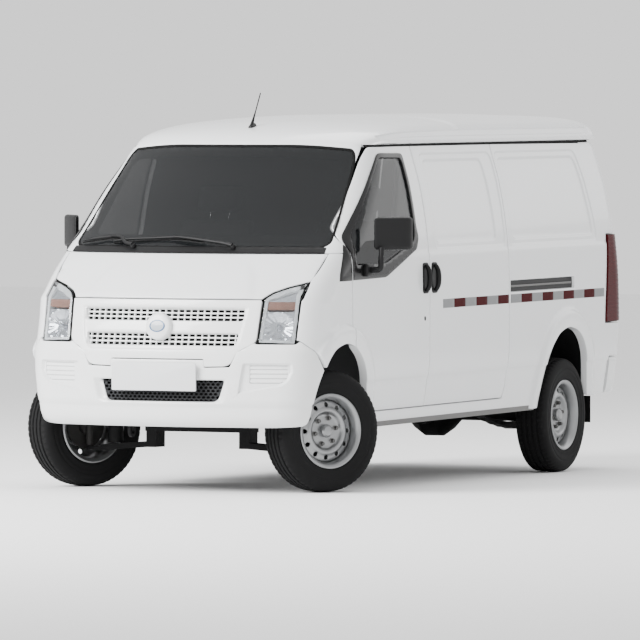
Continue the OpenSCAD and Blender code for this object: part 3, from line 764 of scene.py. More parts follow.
@dataclass(frozen=True)
class Finish:
    """One surface finish, made with shader nodes on Object coordinates.

    Attributes:
        name: Name of the material.
        colour: Linear red, green and blue.
        roughness: Mean roughness.
        metallic: 0 or 1.
        coat: Clear coat weight.
        grain: Scale of the fine grain, per metre.
        bump: Strength of the grain's relief.
        mottle: Share by which large soft patches darken the colour.
        wear: Share by which fine specks change the roughness.
        clear: Transmission weight.
        index: Refractive index.
        weave: Whether the grain is a cloth weave.
        level: Specular level of a dielectric.
        cover: Opacity.
    """
    name: str
    colour: tuple
    roughness: float = .4
    metallic: float = 0.0
    coat: float = 0.0
    grain: float = 300.0
    bump: float = .05
    mottle: float = .04
    wear: float = .15
    clear: float = 0.0
    index: float = 1.45
    weave: bool = False
    level: float = .5
    cover: float = 1.0

    def material(self) -> bpy.types.Material:
        """Builds the material: noise mottles the colour, varies the roughness and drives the bump."""
        made = bpy.data.materials.get(f"{self.name}_finish")
        if made:
            return made
        made = bpy.data.materials.new(f"{self.name}_finish")
        made.use_nodes = True
        tree = made.node_tree
        shader = tree.nodes["Principled BSDF"]
        place = tree.nodes.new("ShaderNodeTexCoord")
        patch = self.noise(tree, place, 2.3, 3.0)
        fine = self.noise(tree, place, self.grain, 2.0)
        mix = tree.nodes.new("ShaderNodeMix")
        mix.data_type = "RGBA"
        mix.inputs[6].default_value = (*self.colour, 1)
        mix.inputs[7].default_value = (*[c * (1 - self.mottle * 2) for c in self.colour], 1)
        tree.links.new(patch.outputs["Fac"], mix.inputs[0])
        tree.links.new(mix.outputs[2], shader.inputs["Base Color"])
        rough = tree.nodes.new("ShaderNodeMapRange")
        rough.inputs["To Min"].default_value = max(0.0, self.roughness * (1 - self.wear))
        rough.inputs["To Max"].default_value = min(1.0, self.roughness * (1 + self.wear))
        tree.links.new(fine.outputs["Fac"], rough.inputs["Value"])
        tree.links.new(rough.outputs["Result"], shader.inputs["Roughness"])
        relief = fine.outputs["Fac"]
        if self.weave:
            relief = self.cloth(tree, place)
        if self.bump:
            bump = tree.nodes.new("ShaderNodeBump")
            bump.inputs["Strength"].default_value = self.bump
            bump.inputs["Distance"].default_value = .001
            tree.links.new(relief, bump.inputs["Height"])
            tree.links.new(bump.outputs["Normal"], shader.inputs["Normal"])
        shader.inputs["Metallic"].default_value = self.metallic
        shader.inputs["Coat Weight"].default_value = self.coat
        shader.inputs["Coat Roughness"].default_value = .06
        shader.inputs["Transmission Weight"].default_value = self.clear
        shader.inputs["IOR"].default_value = self.index
        shader.inputs["Specular IOR Level"].default_value = self.level
        shader.inputs["Alpha"].default_value = self.cover
        made.diffuse_color = (*self.colour, 1)
        return made

    @staticmethod
    def noise(tree: bpy.types.NodeTree, place: bpy.types.Node, scale: float,
              detail: float) -> bpy.types.Node:
        """Adds a noise texture that reads Object coordinates.

        Args:
            tree: Node tree.
            place: Texture Coordinate node.
            scale: Scale of the noise.
            detail: Detail of the noise.

        Returns:
            The noise node.
        """
        node = tree.nodes.new("ShaderNodeTexNoise")
        node.inputs["Scale"].default_value = scale
        node.inputs["Detail"].default_value = detail
        tree.links.new(place.outputs["Object"], node.inputs["Vector"])
        return node

    @staticmethod
    def cloth(tree: bpy.types.NodeTree, place: bpy.types.Node) -> bpy.types.NodeSocket:
        """Adds two crossed fine waves, whose product is a plain weave.

        Args:
            tree: Node tree.
            place: Texture Coordinate node.

        Returns:
            Socket of the weave's height.
        """
        waves = []
        for direction in ("X", "Z"):
            wave = tree.nodes.new("ShaderNodeTexWave")
            wave.bands_direction = direction
            wave.inputs["Scale"].default_value = 180
            wave.inputs["Distortion"].default_value = .6
            tree.links.new(place.outputs["Object"], wave.inputs["Vector"])
            waves.append(wave.outputs["Fac"])
        product = tree.nodes.new("ShaderNodeMath")
        product.operation = "MULTIPLY"
        tree.links.new(waves[0], product.inputs[0])
        tree.links.new(waves[1], product.inputs[1])
        return product.outputs[0]


PAINT = Finish("white_paint", (.8, .81, .82), .24, coat=.6, grain=900, bump=.01, mottle=.012, wear=.1)
BUMPER = Finish("white_bumper", (.79, .8, .8), .32, coat=.35, grain=700, bump=.02, mottle=.015)
PLATE = Finish("plate_white", (.66, .67, .68), .45, grain=500, bump=.02, mottle=.02)
BLACK = Finish("black_plastic", (.006, .006, .0065), .48, grain=1400, bump=.12, mottle=.1, level=.28)
GLOSS_BLACK = Finish("black_gloss", (.005, .005, .0055), .2, grain=500, bump=.01, mottle=.05, level=.35)
RUBBER = Finish("black_rubber", (.005, .005, .005), .75, grain=600, bump=.12, mottle=.12, level=.15)
CHASSIS = Finish("chassis_black", (.005, .005, .0055), .6, grain=160, bump=.2, mottle=.25, wear=.35,
                 level=.18)
TYRE = Finish("tyre_rubber", (.007, .007, .0074), .78, grain=420, bump=.2, mottle=.18, wear=.12, level=.2)
SILVER = Finish("wheel_silver", (.3, .305, .31), .33, metallic=.85, coat=.1, grain=1200, bump=.05,
                mottle=.1, wear=.3)
STEEL = Finish("bare_steel", (.16, .158, .155), .38, metallic=1.0, grain=240, bump=.1, mottle=.15, wear=.35)
IRON = Finish("cast_iron", (.03, .029, .028), .66, metallic=.4, grain=260, bump=.35, mottle=.25, wear=.25)
CHROME = Finish("lamp_chrome", (.66, .67, .69), .12, metallic=1.0, grain=80, bump=.03, mottle=.05)
LINING = Finish("headlining", (.13, .13, .13), .85, grain=500, bump=.2, mottle=.08, level=.2)
CARD = Finish("door_card", (.05, .052, .055), .62, grain=900, bump=.25, mottle=.08, level=.3)
FLOOR_PAINT = Finish("floor_paint", (.1, .102, .105), .52, grain=300, bump=.1, mottle=.12, level=.3)
DASH = Finish("dash_plastic", (.018, .019, .021), .58, grain=1200, bump=.3, mottle=.08, level=.3)
CLOTH = Finish("seat_cloth", (.05, .053, .058), .88, bump=.5, mottle=.12, weave=True, level=.2)
RED = Finish("stripe_red", (.052, .0004, .0018), .5, grain=260, bump=.08, mottle=.14, level=.05)
SILVER_STRIPE = Finish("stripe_grey", (.21, .215, .22), .36, grain=260, bump=.08, mottle=.08, level=.2)
BADGE = Finish("badge_grey", (.42, .46, .5), .24, coat=.4, grain=500, bump=.02, mottle=.08)
BADGE_EDGE = Finish("badge_blue", (.06, .13, .26), .24, coat=.4, grain=500, bump=.02, mottle=.08)
GLASS = Finish("window_glass", (.01, .011, .012), .02, grain=30, bump=0, mottle=.02, wear=.0, cover=.62)
LENS = Finish("lamp_lens", (.9, .92, .94), .02, clear=1.0, grain=60, bump=0, mottle=.01, wear=.0)
RED_LENS = Finish("red_lens", (.05, .0006, .002), .25, grain=120, bump=.03, mottle=.06, level=.08)
AMBER = Finish("amber_lens", (.34, .17, .12), .16, clear=.1, grain=160, bump=.04, mottle=.04)
MIRROR_GLASS = Finish("mirror_glass", (.75, .76, .78), .03, metallic=1.0, grain=50, bump=0, mottle=.02)


# ---- swept and turned shapes ----

def turned(name: str, profile: Array, axis_point: Array, axis: Array, finish: Finish, turns: int = 64,
           sharp: float = 32.0, close: bool = True) -> bpy.types.Object:
    """A profile turned about an axis.

    Point (i, j) is axis_point + axis * profile[i, 1] + radius * (u cos t + v sin t), radius profile[i, 0].

    Args:
        name: Name of the piece.
        profile: Radius and distance along the axis, n by 2.
        axis_point: A point on the axis.
        axis: Direction of the axis.
        finish: Its finish.
        turns: Points round the axis.
        sharp: Angle past which edges stay sharp.
        close: Joins the profile's last point to its first.

    Returns:
        The piece.
    """
    n, u, v = frame_of(np.asarray(axis, float))
    t = np.linspace(0, 2 * np.pi, turns, endpoint=False)
    ring = np.cos(t)[:, None] * u + np.sin(t)[:, None] * v
    pts = (np.asarray(axis_point, float) + profile[:, 1, None, None] * n
           + profile[:, 0, None, None] * ring[None])
    return make_mesh(name, pts.reshape(-1, 3), grid_faces(len(profile), turns, close, True),
                     [finish.material()], sharp=sharp, flip=signed_area(profile) < 0)


def frame_of(axis: Array) -> tuple[Array, Array, Array]:
    """Unit axis and two unit vectors square to it and to each other.

    Args:
        axis: Direction, of any length.

    Returns:
        The axis and the two vectors.
    """
    n = axis / np.linalg.norm(axis)
    helper = np.array([0, 0, 1.0]) if abs(n[2]) < .9 else np.array([0, 1.0, 0])
    u = np.cross(helper, n)
    u /= np.linalg.norm(u)
    return n, u, np.cross(n, u)


def swept(path: Array, section: Array, up: Array = np.array([0, 0, 1.0]),
          scale: Optional[Array] = None) -> tuple:
    """A closed section carried along an open path, with flat ends.

    Each ring stands square to the path: its first axis is path direction cross up, its second the rest.

    Args:
        path: Points, n by 3.
        section: Closed section, m by 2, anticlockwise.
        up: Direction that the section's second axis leans to.
        scale: Size of the section at each path point.

    Returns:
        Vertices and faces.
    """
    way = np.gradient(path, axis=0)
    way /= np.linalg.norm(way, axis=1)[:, None]
    across = np.cross(way, up)
    across /= np.maximum(np.linalg.norm(across, axis=1)[:, None], 1e-9)
    rise = np.cross(across, way)
    size = np.ones(len(path)) if scale is None else np.asarray(scale, float)
    pts = (path[:, None] + section[None, :, :1] * across[:, None] * size[:, None, None]
           + section[None, :, 1:] * rise[:, None] * size[:, None, None])
    rows, cols = len(path), len(section)
    faces = [f[::-1] for f in grid_faces(rows, cols, False, True)]
    faces += end_caps(rows, cols)
    return pts.reshape(-1, 3), faces


def tube(name: str, path: Sequence[Sequence[float]], radius: float | Sequence[float], finish: Finish,
         sides: int = 14, steps: int = 8) -> bpy.types.Object:
    """A round bar along a smooth line through points.

    Args:
        name: Name of the piece.
        path: Points that the line passes.
        radius: Radius, one or one a point.
        finish: Its finish.
        sides: Points round the bar.
        steps: Rings between two points.

    Returns:
        The piece.
    """
    pts = np.asarray(path, float)
    keys = np.arange(len(pts))
    fine = np.linspace(0, len(pts) - 1, (len(pts) - 1) * steps + 1)
    line = np.stack([curve_through(keys, pts[:, k])(fine) for k in range(3)], 1)
    size = np.interp(fine, keys, np.broadcast_to(np.asarray(radius, float), (len(pts),)))
    t = np.linspace(0, 2 * np.pi, sides, endpoint=False)
    section = np.stack([np.cos(t), np.sin(t)], 1)
    along = line[-1] - line[0]
    up = np.array([0, 0, 1.0]) if abs(along[2]) < .8 * np.linalg.norm(along) else np.array([0, 1.0, 0])
    verts, faces = swept(line, section, up, size)
    return outward(make_mesh(name, verts, faces, [finish.material()]))


def outward(obj: bpy.types.Object) -> bpy.types.Object:
    """Turns every face of a closed piece outwards.

    Args:
        obj: The piece.

    Returns:
        The same piece.
    """
    work = bmesh.new()
    work.from_mesh(obj.data)
    bmesh.ops.remove_doubles(work, verts=work.verts, dist=1e-6)
    bmesh.ops.recalc_face_normals(work, faces=work.faces)
    work.to_mesh(obj.data)
    work.free()
    return obj


def slab(name: str, outline: Array, place: Callable[[Array], Array], depth: float, finish: Finish,
         edge: float = .003, sharp: float = 35.0) -> bpy.types.Object:
    """A flat plate of any outline with rounded front edges.

    Rings go from the back rim to the front rim, then inwards over a quarter round; the faces close flat.

    Args:
        name: Name of the piece.
        outline: Closed outline, n by 2.
        place: Puts (a, b, height) points, n by 3, where they go.
        depth: Thickness.
        finish: Its finish.
        edge: Radius of the front edge.
        sharp: Angle past which edges stay sharp.

    Returns:
        The piece.
    """
    loop = outline if signed_area(outline) > 0 else outline[::-1]
    rings = [np.column_stack([loop, np.zeros(len(loop))])]
    for t in np.linspace(0, np.pi / 2, 4):
        inner = inset_loop(loop, edge * (1 - math.cos(t)))
        rings.append(np.column_stack([inner, np.full(len(loop), depth - edge + edge * math.sin(t))]))
    m = len(loop)
    faces = grid_faces(len(rings), m, False, True)
    faces += [list(range(m))[::-1], list(range((len(rings) - 1) * m, len(rings) * m))]
    return outward(make_mesh(name, place(np.concatenate(rings)), faces, [finish.material()], sharp=sharp))


def lump(name: str, low: Sequence[float], high: Sequence[float], finish: Finish, edge: float = .012,
         shape: Optional[Callable[[Array], Array]] = None, tipped: bool = True,
         cuts: int = 5) -> bpy.types.Object:
    """A block with rounded edges, its points moved by a shape function.

    The block is a cube grid pushed onto a rounded box: inner box corner plus edge times unit offset.

    Args:
        name: Name of the piece.
        low: Lowest corner.
        high: Highest corner.
        finish: Its finish.
        edge: Radius of the edges.
        shape: Moves the level points, or None.
        tipped: Whether it leans with the body.
        cuts: Divisions along each edge between the rounds.

    Returns:
        The piece.
    """
    low, high = np.asarray(low, float), np.asarray(high, float)
    size = high - low
    edge = min(edge, .49 * float(size.min()))
    side = np.concatenate([[-1.0, -.9, -.7, -.4], np.linspace(0, 1, cuts + 2), [1.4, 1.7, 1.9, 2.0]])
    n = len(side)
    a, b = [g.ravel() for g in np.meshgrid(side, side, indexing="ij")]
    parts, faces = [], []
    for axis in range(3):
        for end in (-1.0, 2.0):
            p = np.empty((n * n, 3))
            p[:, axis] = end
            p[:, (axis + 1) % 3], p[:, (axis + 2) % 3] = a, b
            faces += grid_faces(n, n, start=len(parts) * n * n)
            parts.append(p)
    p = np.concatenate(parts)
    core = low + edge + np.clip(p, 0, 1) * (size - 2 * edge)
    off = p - np.clip(p, 0, 1)
    away = off / np.maximum(np.linalg.norm(off, axis=1)[:, None], 1e-9)
    pts = core + away * edge
    if shape is not None:
        pts = shape(pts)
    return outward(make_mesh(name, tip(pts) if tipped else pts, faces, [finish.material()], sharp=40))


def joined(name: str, pieces: Sequence[bpy.types.Object]) -> bpy.types.Object:
    """Puts several pieces into one object, keeping each one's finish.

    Args:
        name: Name of the whole.
        pieces: Objects to join, which are removed.

    Returns:
        The whole.
    """
    verts, faces, finishes, slots, start = [], [], [], [], 0
    for piece in pieces:
        mesh = piece.data
        flat = np.empty(len(mesh.vertices) * 3)
        mesh.vertices.foreach_get("co", flat)
        verts.append(flat.reshape(-1, 3))
        local = []
        for material in mesh.materials:
            if material not in finishes:
                finishes.append(material)
            local.append(finishes.index(material))
        faces += [[v + start for v in p.vertices] for p in mesh.polygons]
        slots += [local[p.material_index] for p in mesh.polygons]
        start += len(mesh.vertices)
        bpy.data.objects.remove(piece)
    return make_mesh(name, np.concatenate(verts), faces, finishes, np.array(slots), 35)


def fit(piece: bpy.types.Object, body: str, slot: str, *nodes: str) -> bpy.types.Object:
    """Makes a piece ride on a body and stand for CAD nodes; and reports it.

    Args:
        piece: The piece.
        body: Body that it rides on.
        slot: Material slot's name; not used.
        nodes: CAD nodes that it replaces.

    Returns:
        The same piece.
    """
    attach(piece, body)
    if nodes:
        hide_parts(*nodes)
    LOG.info("%s: %d faces on %s", piece.name, len(piece.data.polygons), body)
    return piece



# ---- shared outlines, level, in metres ----


@dataclass
class Lines:
    """The seams that neighbouring panels share: side views as (y, z), front and rear views as (x, z)."""
    skin: Skin
    door: tuple = ((-.573, .402), (-.573, 1.786), (-1.058, 1.786), (-1.13, 1.738), (-1.566, 1.362),
                   (-1.592, 1.3),
                   (-1.572, 1.24), (-1.572, .862), (-1.545, .748), (-1.456, .69), (-1.398, .6),
                   (-1.366, .5), (-1.352, .402))
    slide: tuple = ((-.573, .402), (.483, .402), (.505, .47), (.505, 1.786), (-.573, 1.786))
    garnish: tuple = ((-1.5675, 1.095), (-1.144, 1.101), (-.735, 1.24), (-.7, 1.302), (-.716, 1.362),
                      (-.712, 1.746), (-1.014, 1.75), (-1.562, 1.328), (-1.587, 1.292), (-1.5675, 1.236))
    pane: tuple = ((-1.52, 1.172), (-1.15, 1.172), (-.766, 1.282), (-.746, 1.345), (-.742, 1.722),
                   (-1.02, 1.726), (-1.528, 1.318))
    rear_arch: tuple = ((.984, .327), (1.006, .43), (1.036, .54), (1.072, .62), (1.14, .69), (1.23, .74),
                        (1.346, .762), (1.455, .744), (1.55, .686), (1.616, .59), (1.655, .48),
                        (1.694, .37))
    front_arch: tuple = ((-1.352, .402), (-1.366, .5), (-1.398, .6), (-1.456, .69), (-1.545, .748),
                         (-1.657, .77), (-1.77, .752), (-1.86, .706), (-1.92, .64), (-1.958, .56),
                         (-1.98, .46), (-1.988, .352))
    gate: tuple = ((-.69, .59), (.69, .59), (.684, 1.3), (.61, 1.78), (.56, 1.812), (-.56, 1.812),
                   (-.61, 1.78), (-.684, 1.3))
    gate_pane: tuple = ((-.59, 1.29), (.59, 1.29), (.54, 1.7), (-.54, 1.7))
    screen: tuple = ((-.7, 1.262), (.7, 1.262), (.735, 1.29), (.668, 1.738), (.64, 1.774), (.4, 1.796),
                     (-.4, 1.796), (-.64, 1.774), (-.668, 1.738), (-.735, 1.29))
    grille: tuple = ((.539, 1.006), (.531, .788), (.44, .74), (.404, .664), (.264, .66), (.262, .7),
                     (-.262, .7), (-.264, .66), (-.404, .664), (-.44, .74), (-.531, .788), (-.539, 1.006))
    lamp: tuple = ((.535, .783), (.726, .777), (.731, 1.097), (.64, 1.072), (.578, 1.046), (.547, 1.022))

    def arch_span(self, y0: float, y1: float) -> Array:
        """The part of the front arch's opening between two stations, from front to rear."""
        line = smooth_line(self.front_arch, 130)[::-1]
        return line[(line[:, 0] >= y0) & (line[:, 0] <= y1)]

    def tail(self, low: tuple, high: tuple) -> Array:
        """A straight edge on the tail, given as seen from behind, in flat side coordinates."""
        seen = divided(np.array([low, high]), .02)
        return self.skin.flat(Chart.SIDE, self.skin.point(Chart.REAR,
                                                          self.skin.from_front(Chart.REAR, seen)))

    def on_nose(self, xz: Array) -> Array:
        """Flat front coordinates of (x, z) points on the turned nose.

        Args:
            xz: Points as seen, n by 2.

        Returns:
            Flat coordinates, n by 2.
        """
        form = self.skin.form
        reach = form.turn_y - form.nose_y(xz[:, 1])
        y = form.turn_y - np.sqrt(np.maximum(reach ** 2 - xz[:, 0] ** 2, 0))
        return self.skin.flat(Chart.FRONT, np.stack([xz[:, 0], y, xz[:, 1]], 1))

    def on_screen(self, xz: Array) -> Array:
        """Level points of (x, z) points on the turned windscreen.

        Args:
            xz: Points as seen, n by 2.

        Returns:
            Points, n by 3.
        """
        form = self.skin.form
        reach = form.turn_y - form.screen_y(xz[:, 1])
        y = form.turn_y - np.sqrt(np.maximum(reach ** 2 - xz[:, 0] ** 2, 0))
        return np.stack([xz[:, 0], y, xz[:, 1]], 1)

    def from_side(self, chart: Chart, yz: Array) -> Array:
        """Flat coordinates in another chart of (y, z) points on the side."""
        return self.skin.flat(chart, self.skin.point(Chart.SIDE, yz))


def plateau(loop: Array, depth: float, width: float) -> Callable[[Array], Array]:
    """Pressing inside an outline: depth times a smooth step of the distance in from it.

    Args:
        loop: Closed flat outline.
        depth: Depth at the middle.
        width: Width of the slope.

    Returns:
        Relief of flat points.
    """
    def value(uv: Array) -> Array:
        """Depth at flat points."""
        return np.where(inside_loop(uv, loop), depth * step_up(loop_distance(uv, loop), 0, width), 0.0)
    return value


def rings(loop: Array, width: float) -> tuple:
    """Guide lines over the edge of a pressing."""
    return tuple(inset_loop(loop, width * t) for t in (-.12, .12, .5, .88, 1.12))


def added(*parts: Callable[[Array], Array]) -> Callable[[Array], Array]:
    """Sum of several pressings."""
    return lambda uv: sum(part(uv) for part in parts)


def creases(uv: Array) -> Array:
    """The side's long creases: 4 mm in above the belt line, 5 mm in below the sill line."""
    return .004 * step_up(uv[:, 1], 1.21, 1.226) + .005 * (1 - step_up(uv[:, 1], .556, .57))


def crease_guides(y0: float, y1: float) -> tuple:
    """Guide lines along the creases."""
    y = np.arange(y0, y1, .02)
    return tuple(np.stack([y, np.full_like(y, z)], 1) for z in (.554, .563, .572, 1.208, 1.218, 1.228))


def flare(line: Array, width: float, rise: float) -> Callable[[Array], Array]:
    """A wheel arch's raised lip: full height at the opening, with a crisp outer edge at a width from it.

    Args:
        line: The opening's edge, flat.
        width: Width of the lip.
        rise: Height at the edge.

    Returns:
        Relief of flat points, negative outwards.
    """
    def value(uv: Array) -> Array:
        """Negative depth at flat points.

        Args:
            uv: Flat coordinates, n by 2.

        Returns:
            The values.
        """
        best = np.full(len(uv), 9.0)
        for a, b in zip(line[:-1], line[1:]):
            t = np.clip(((uv - a) @ (b - a)) / ((b - a) @ (b - a)), 0, 1)
            best = np.minimum(best, np.linalg.norm(uv - (a + t[:, None] * (b - a)), axis=1))
        return -rise * (1 - step_up(best, width * .8, width)) * (.55 + .45 * step_up(best, 0, width * .6))
    return value


def offset_line(line: Array, amount: float) -> Array:
    """Open line moved to its left by an amount.

    Args:
        line: Open line, n by 2.
        amount: Distance to the left.

    Returns:
        The moved line.
    """
    way = np.gradient(line, axis=0)
    way /= np.linalg.norm(way, axis=1)[:, None]
    return line + np.stack([-way[:, 1], way[:, 0]], 1) * amount


def smooth_line(points: Sequence, count: int) -> Array:
    """Open smooth line through points, evenly numbered.

    Args:
        points: Points that the line passes.
        count: Points of the result.

    Returns:
        The line, count by 2.
    """
    p = np.asarray(points, float)
    keys = np.concatenate([[0], np.cumsum(np.linalg.norm(np.diff(p, axis=0), axis=1))])
    at = np.linspace(0, keys[-1], count)
    return np.stack([curve_through(keys, p[:, k])(at) for k in range(p.shape[1])], 1)


# ---- the body's pieces ----

@dataclass
class FixedBody:
    """The fixed white body: roof with the windscreen's frame, side panels, fenders and their trim."""
    lines: Lines
    wall: float = .032

    def build(self) -> None:
        """Builds the fixed panels on both sides."""
        self.roof()
        for side, word in SIDES:
            self.side_panel(side, word)
            self.fender(side, word)
            self.rail_gap(side, word)

    def roof(self) -> None:
        """One panel over the cab and load space, down both pillars, with the windscreen's hole."""
        lines, skin = self.lines, self.lines.skin
        top = skin.point(Chart.SIDE, np.stack([np.linspace(1.9, -1.04, 150), np.full(150, 1.796)], 1))
        edge = np.array([(-1.072, 1.796), (-1.134, 1.744), (-1.572, 1.367), (-1.5985, 1.3),
                         (-1.5785, 1.2415)])
        pillar = skin.point(Chart.SIDE, divided(edge, .014))
        foot = skin.point(Chart.SIDE, divided(np.array([(-1.59, 1.2405), (-1.7, 1.2405)]), .014))
        foot = foot[foot[:, 0] > .765]
        half = lines.on_screen(divided(np.array([(.752, 1.2405), (0.0, 1.2405)]), .014))
        corner = self.tail_corner()
        left = np.concatenate([corner, top, pillar, foot, half])
        right = left[::-1] * np.array([-1, 1, 1])
        loop = skin.flat(Chart.TOP, np.concatenate([left, right[1:-1]]))
        keep = np.linalg.norm(loop - np.roll(loop, 1, 0), axis=1) > .003
        loop = divided(loop[keep], .016, closed=True)
        hole = skin.flat(Chart.TOP, lines.on_screen(rounded(lines.screen,
                                                            (.02, .02, .02, .05, .05, .2, .2, .05,
                                                                          .05, .02), .014)))
        middle = math.pi / 2 * TOP_ARC

        def relief(uv: Array) -> Array:
            """Gutter lip standing out at the edge, and the sunk strip above it.

            Args:
                uv: Flat coordinates, n by 2.

            Returns:
                Relief, positive inwards.
            """
            away = middle - np.abs(uv[:, 0] - middle)
            along = step_up(uv[:, 1], -1.045, -.985)
            lip = -.02 * (1 - step_up(away, .733, .757)) * along
            strip = .008 * step_up(away, .764, .768) * (1 - step_up(away, .792, .797))
            return lip + strip * step_up(uv[:, 1], -.925, -.9) * (1 - step_up(uv[:, 1], 1.86, 1.9))

        y = np.arange(-1.03, 1.97, .022)
        guides = []
        for away in (.736, .745, .757, .7635, .768, .78, .792, .797):
            for u in (away, 2 * middle - away):
                guides.append(np.stack([np.full_like(y, u), y], 1))
        panel = Panel("roof_shell", Chart.TOP, loop, (hole,), .022, .026, .003, relief, tuple(guides))
        panel.fitted(skin, LEFT, (PAINT, LINING), BODY, "white_paint", "roof", "windscreen_frame")

    def tail_corner(self) -> Array:
        """The roof's rear edge, from its middle over the tailgate's top corner to the left side."""
        skin = self.lines.skin
        seen = divided(np.array([(0.0, 1.8165), (.562, 1.8165), (.615, 1.79)]), .014)
        tail = skin.point(Chart.REAR, skin.from_front(Chart.REAR, seen))
        last = skin.flat(Chart.SIDE, tail[-1:])[0]
        turn = divided(np.array([(last[0] - .012, 1.796), (1.915, 1.796)]), .014)
        return np.concatenate([tail, skin.point(Chart.SIDE, turn)])

    def rail_gap(self, side: int, word: str) -> None:
        """Black strip under the gutter lip: painted shadow of the gap under it.

        Args:
            side: 1 for the left, -1 for the right.
            word: Left or right, as the pieces' names have it.
        """
        loop = rounded(box(-1.06, 1.784, 1.93, 1.798), .001, .02)
        # A black rubber strip sunk under the lip: painted shadow in the gap under the gutter.
        panel = Panel(f"gutter_painted_shadow_{word}", Chart.SIDE, loop, (), .012, .02, .001, None, (), -.004)
        panel.fitted(self.lines.skin, side, (RUBBER,), BODY, "black_rubber")

    def side_panel(self, side: int, word: str) -> None:
        """Sill and rear quarter in one, round the rear wheel arch, with the lamp's recess at the tail corner.

        Args:
            side: 1 for the left, -1 for the right.
            word: Left or right, as the pieces' names have it.
        """
        lines, skin = self.lines, self.lines.skin
        s = SEAM
        low, high = lines.tail((.694, .584), (.694, .766)), lines.tail((.694, 1.272), (.618, 1.778))
        arch = smooth_line(lines.rear_arch, 110)
        corners = np.concatenate([
            [(-1.345, .327)], arch, [(1.96, .37), (1.96, .584)], low - [s, 0],
            [(1.884 - s, .768), (1.894 - s, .9), (1.916 - s, 1.15), (1.922 - s, 1.27)], high - [s, 0],
            [(.505 + s, 1.784), (.505 + s, .468), (.486, .4005 - s), (-.6, .4005 - s), (-1.35, .4005 - s)]])
        loop = rounded(corners, np.where(np.arange(len(corners)) > len(arch), .006, .004), .014)
        press = rounded(((.585, 1.262), (1.755, 1.262), (1.655, 1.716), (.56, 1.716)), .055, .014)
        field = rounded(((.525, 1.232), (1.8, 1.232), (1.68, 1.748), (.525, 1.748)), .06, .014)
        rail = rounded(box(.52, .976, 1.43, 1.044), .012, .012)
        lip = offset_line(arch, .04)
        relief = added(creases, plateau(field, .006, .012), plateau(press, .008, .016),
                       plateau(rail, .016, .006), flare(arch, .105, .016))
        guides = crease_guides(.52, 1.9) + rings(press, .016) + rings(field, .012) + rings(rail, .006)
        guides += (lip, offset_line(arch, .084), offset_line(arch, .094), offset_line(arch, .105))
        panel = Panel(f"side_panel_{word}", Chart.SIDE, loop, (), self.wall, .024, .003, relief, guides)
        panel.fitted(skin, side, (PAINT, CARD), BODY, "white_paint", f"side_panel_{word}")
        dark = rounded(box(.525, .98, 1.426, 1.04), .012, .02)
        slot = Panel(f"slide_rail_{word}", Chart.SIDE, dark, (), .0148, .02, .001, None, (), -.0135)
        slot.fitted(skin, side, (BLACK,), BODY, "black_plastic")
        bar = rounded(box(.54, 1.004, 1.4, 1.015), .003, .02)
        runner = Panel(f"slide_runner_{word}", Chart.SIDE, bar, (), .0132, .02, .002, None, (), -.006)
        runner.fitted(skin, side, (STEEL,), BODY, "black_plastic")
        self.inner_arch(side, word, arch)
        strip = rounded(box(-1.255, .318, .955, .3455), .003, .02)
        pinch = Panel(f"sill_flange_{word}", Chart.SIDE, strip, (), .004, .02, .001, None, (), -.018)
        pinch.fitted(skin, side, (STEEL,), BODY, "white_paint")

    def inner_arch(self, side: int, word: str, arch: Array) -> None:
        """The black lining inside a rear wheel arch: the arch line carried inwards.

        Args:
            side: 1 for the left, -1 for the right.
            word: Left or right, as the pieces' names have it.
            arch: The arch's line, flat.
        """
        line = offset_line(arch[::2], .006)
        share = np.repeat(np.linspace(0, 1, 12), len(line))
        width = self.lines.skin.form.half_width(np.tile(line[:, 1], 12)) - .02
        pts = np.stack([width + (.52 - width) * share, np.tile(line[:, 0], 12), np.tile(line[:, 1], 12)], 1)
        inner = pts.copy()
        bigger = offset_line(line, .004)
        inner[:, 1], inner[:, 2] = np.tile(bigger[:, 0], 12), np.tile(bigger[:, 1], 12)
        faces = grid_faces(12, len(line)) + [f[::-1] for f in grid_faces(12, len(line), start=len(pts))]
        piece = make_mesh(f"arch_lining_{word}", mirrored(tip(np.concatenate([pts, inner])), side), faces,
                          [CHASSIS.material()], sharp=40, flip=side < 0)
        fit(piece, BODY, "black_chassis")

    def fender(self, side: int, word: str) -> None:
        """Front fender between the lamp, the hood, the door and the bumper, with the arch's flare.

        Args:
            side: 1 for the left, -1 for the right.
            word: Left or right, as the pieces' names have it.
        """
        lines, skin = self.lines, self.lines.skin
        arch = lines.arch_span(-1.912, -1.552)
        path = skin.point(Chart.SIDE, np.concatenate([arch[::-1], [(-1.985, .742), (-2.046, .7985)]]))
        flat_arch = skin.flat(Chart.FRONT, path)
        lamp = skin.from_front(Chart.FRONT, np.array([(.7285, .7985), (.7335, 1.000), (.7355, 1.101)]))
        hood = skin.from_front(Chart.FRONT, np.array([(.7395, 1.12), (.7475, 1.236)]))
        back = lines.from_side(Chart.FRONT, np.array([(-1.5765, 1.236), (-1.5765, .862)]))
        loop = rounded(np.concatenate([flat_arch, lamp, hood, back]), .004, .014)
        line = skin.flat(Chart.FRONT, skin.point(Chart.SIDE, lines.arch_span(-1.985, -1.4)))
        relief = flare(line, .102, .016)
        guides = tuple(offset_line(line, t) for t in (.02, .05, .08, .09, .102))
        panel = Panel(f"fender_{word}", Chart.FRONT, loop, (), .01, .022, .003, relief, guides)
        panel.fitted(skin, side, (PAINT, CHASSIS), BODY, "white_paint", f"fender_{word}")
        black = rounded(((-1.729, 1.093), (-1.5765, 1.094), (-1.5765, 1.242), (-1.594, 1.284),
                         (-1.712, 1.132)), .006,
                        .012)
        trim = Panel(f"pillar_trim_{word}", Chart.FRONT, lines.from_side(Chart.FRONT, black), (), .004, .02,
                     .001, None, (), .0015)
        trim.fitted(skin, side, (GLOSS_BLACK,), BODY, "black_plastic")


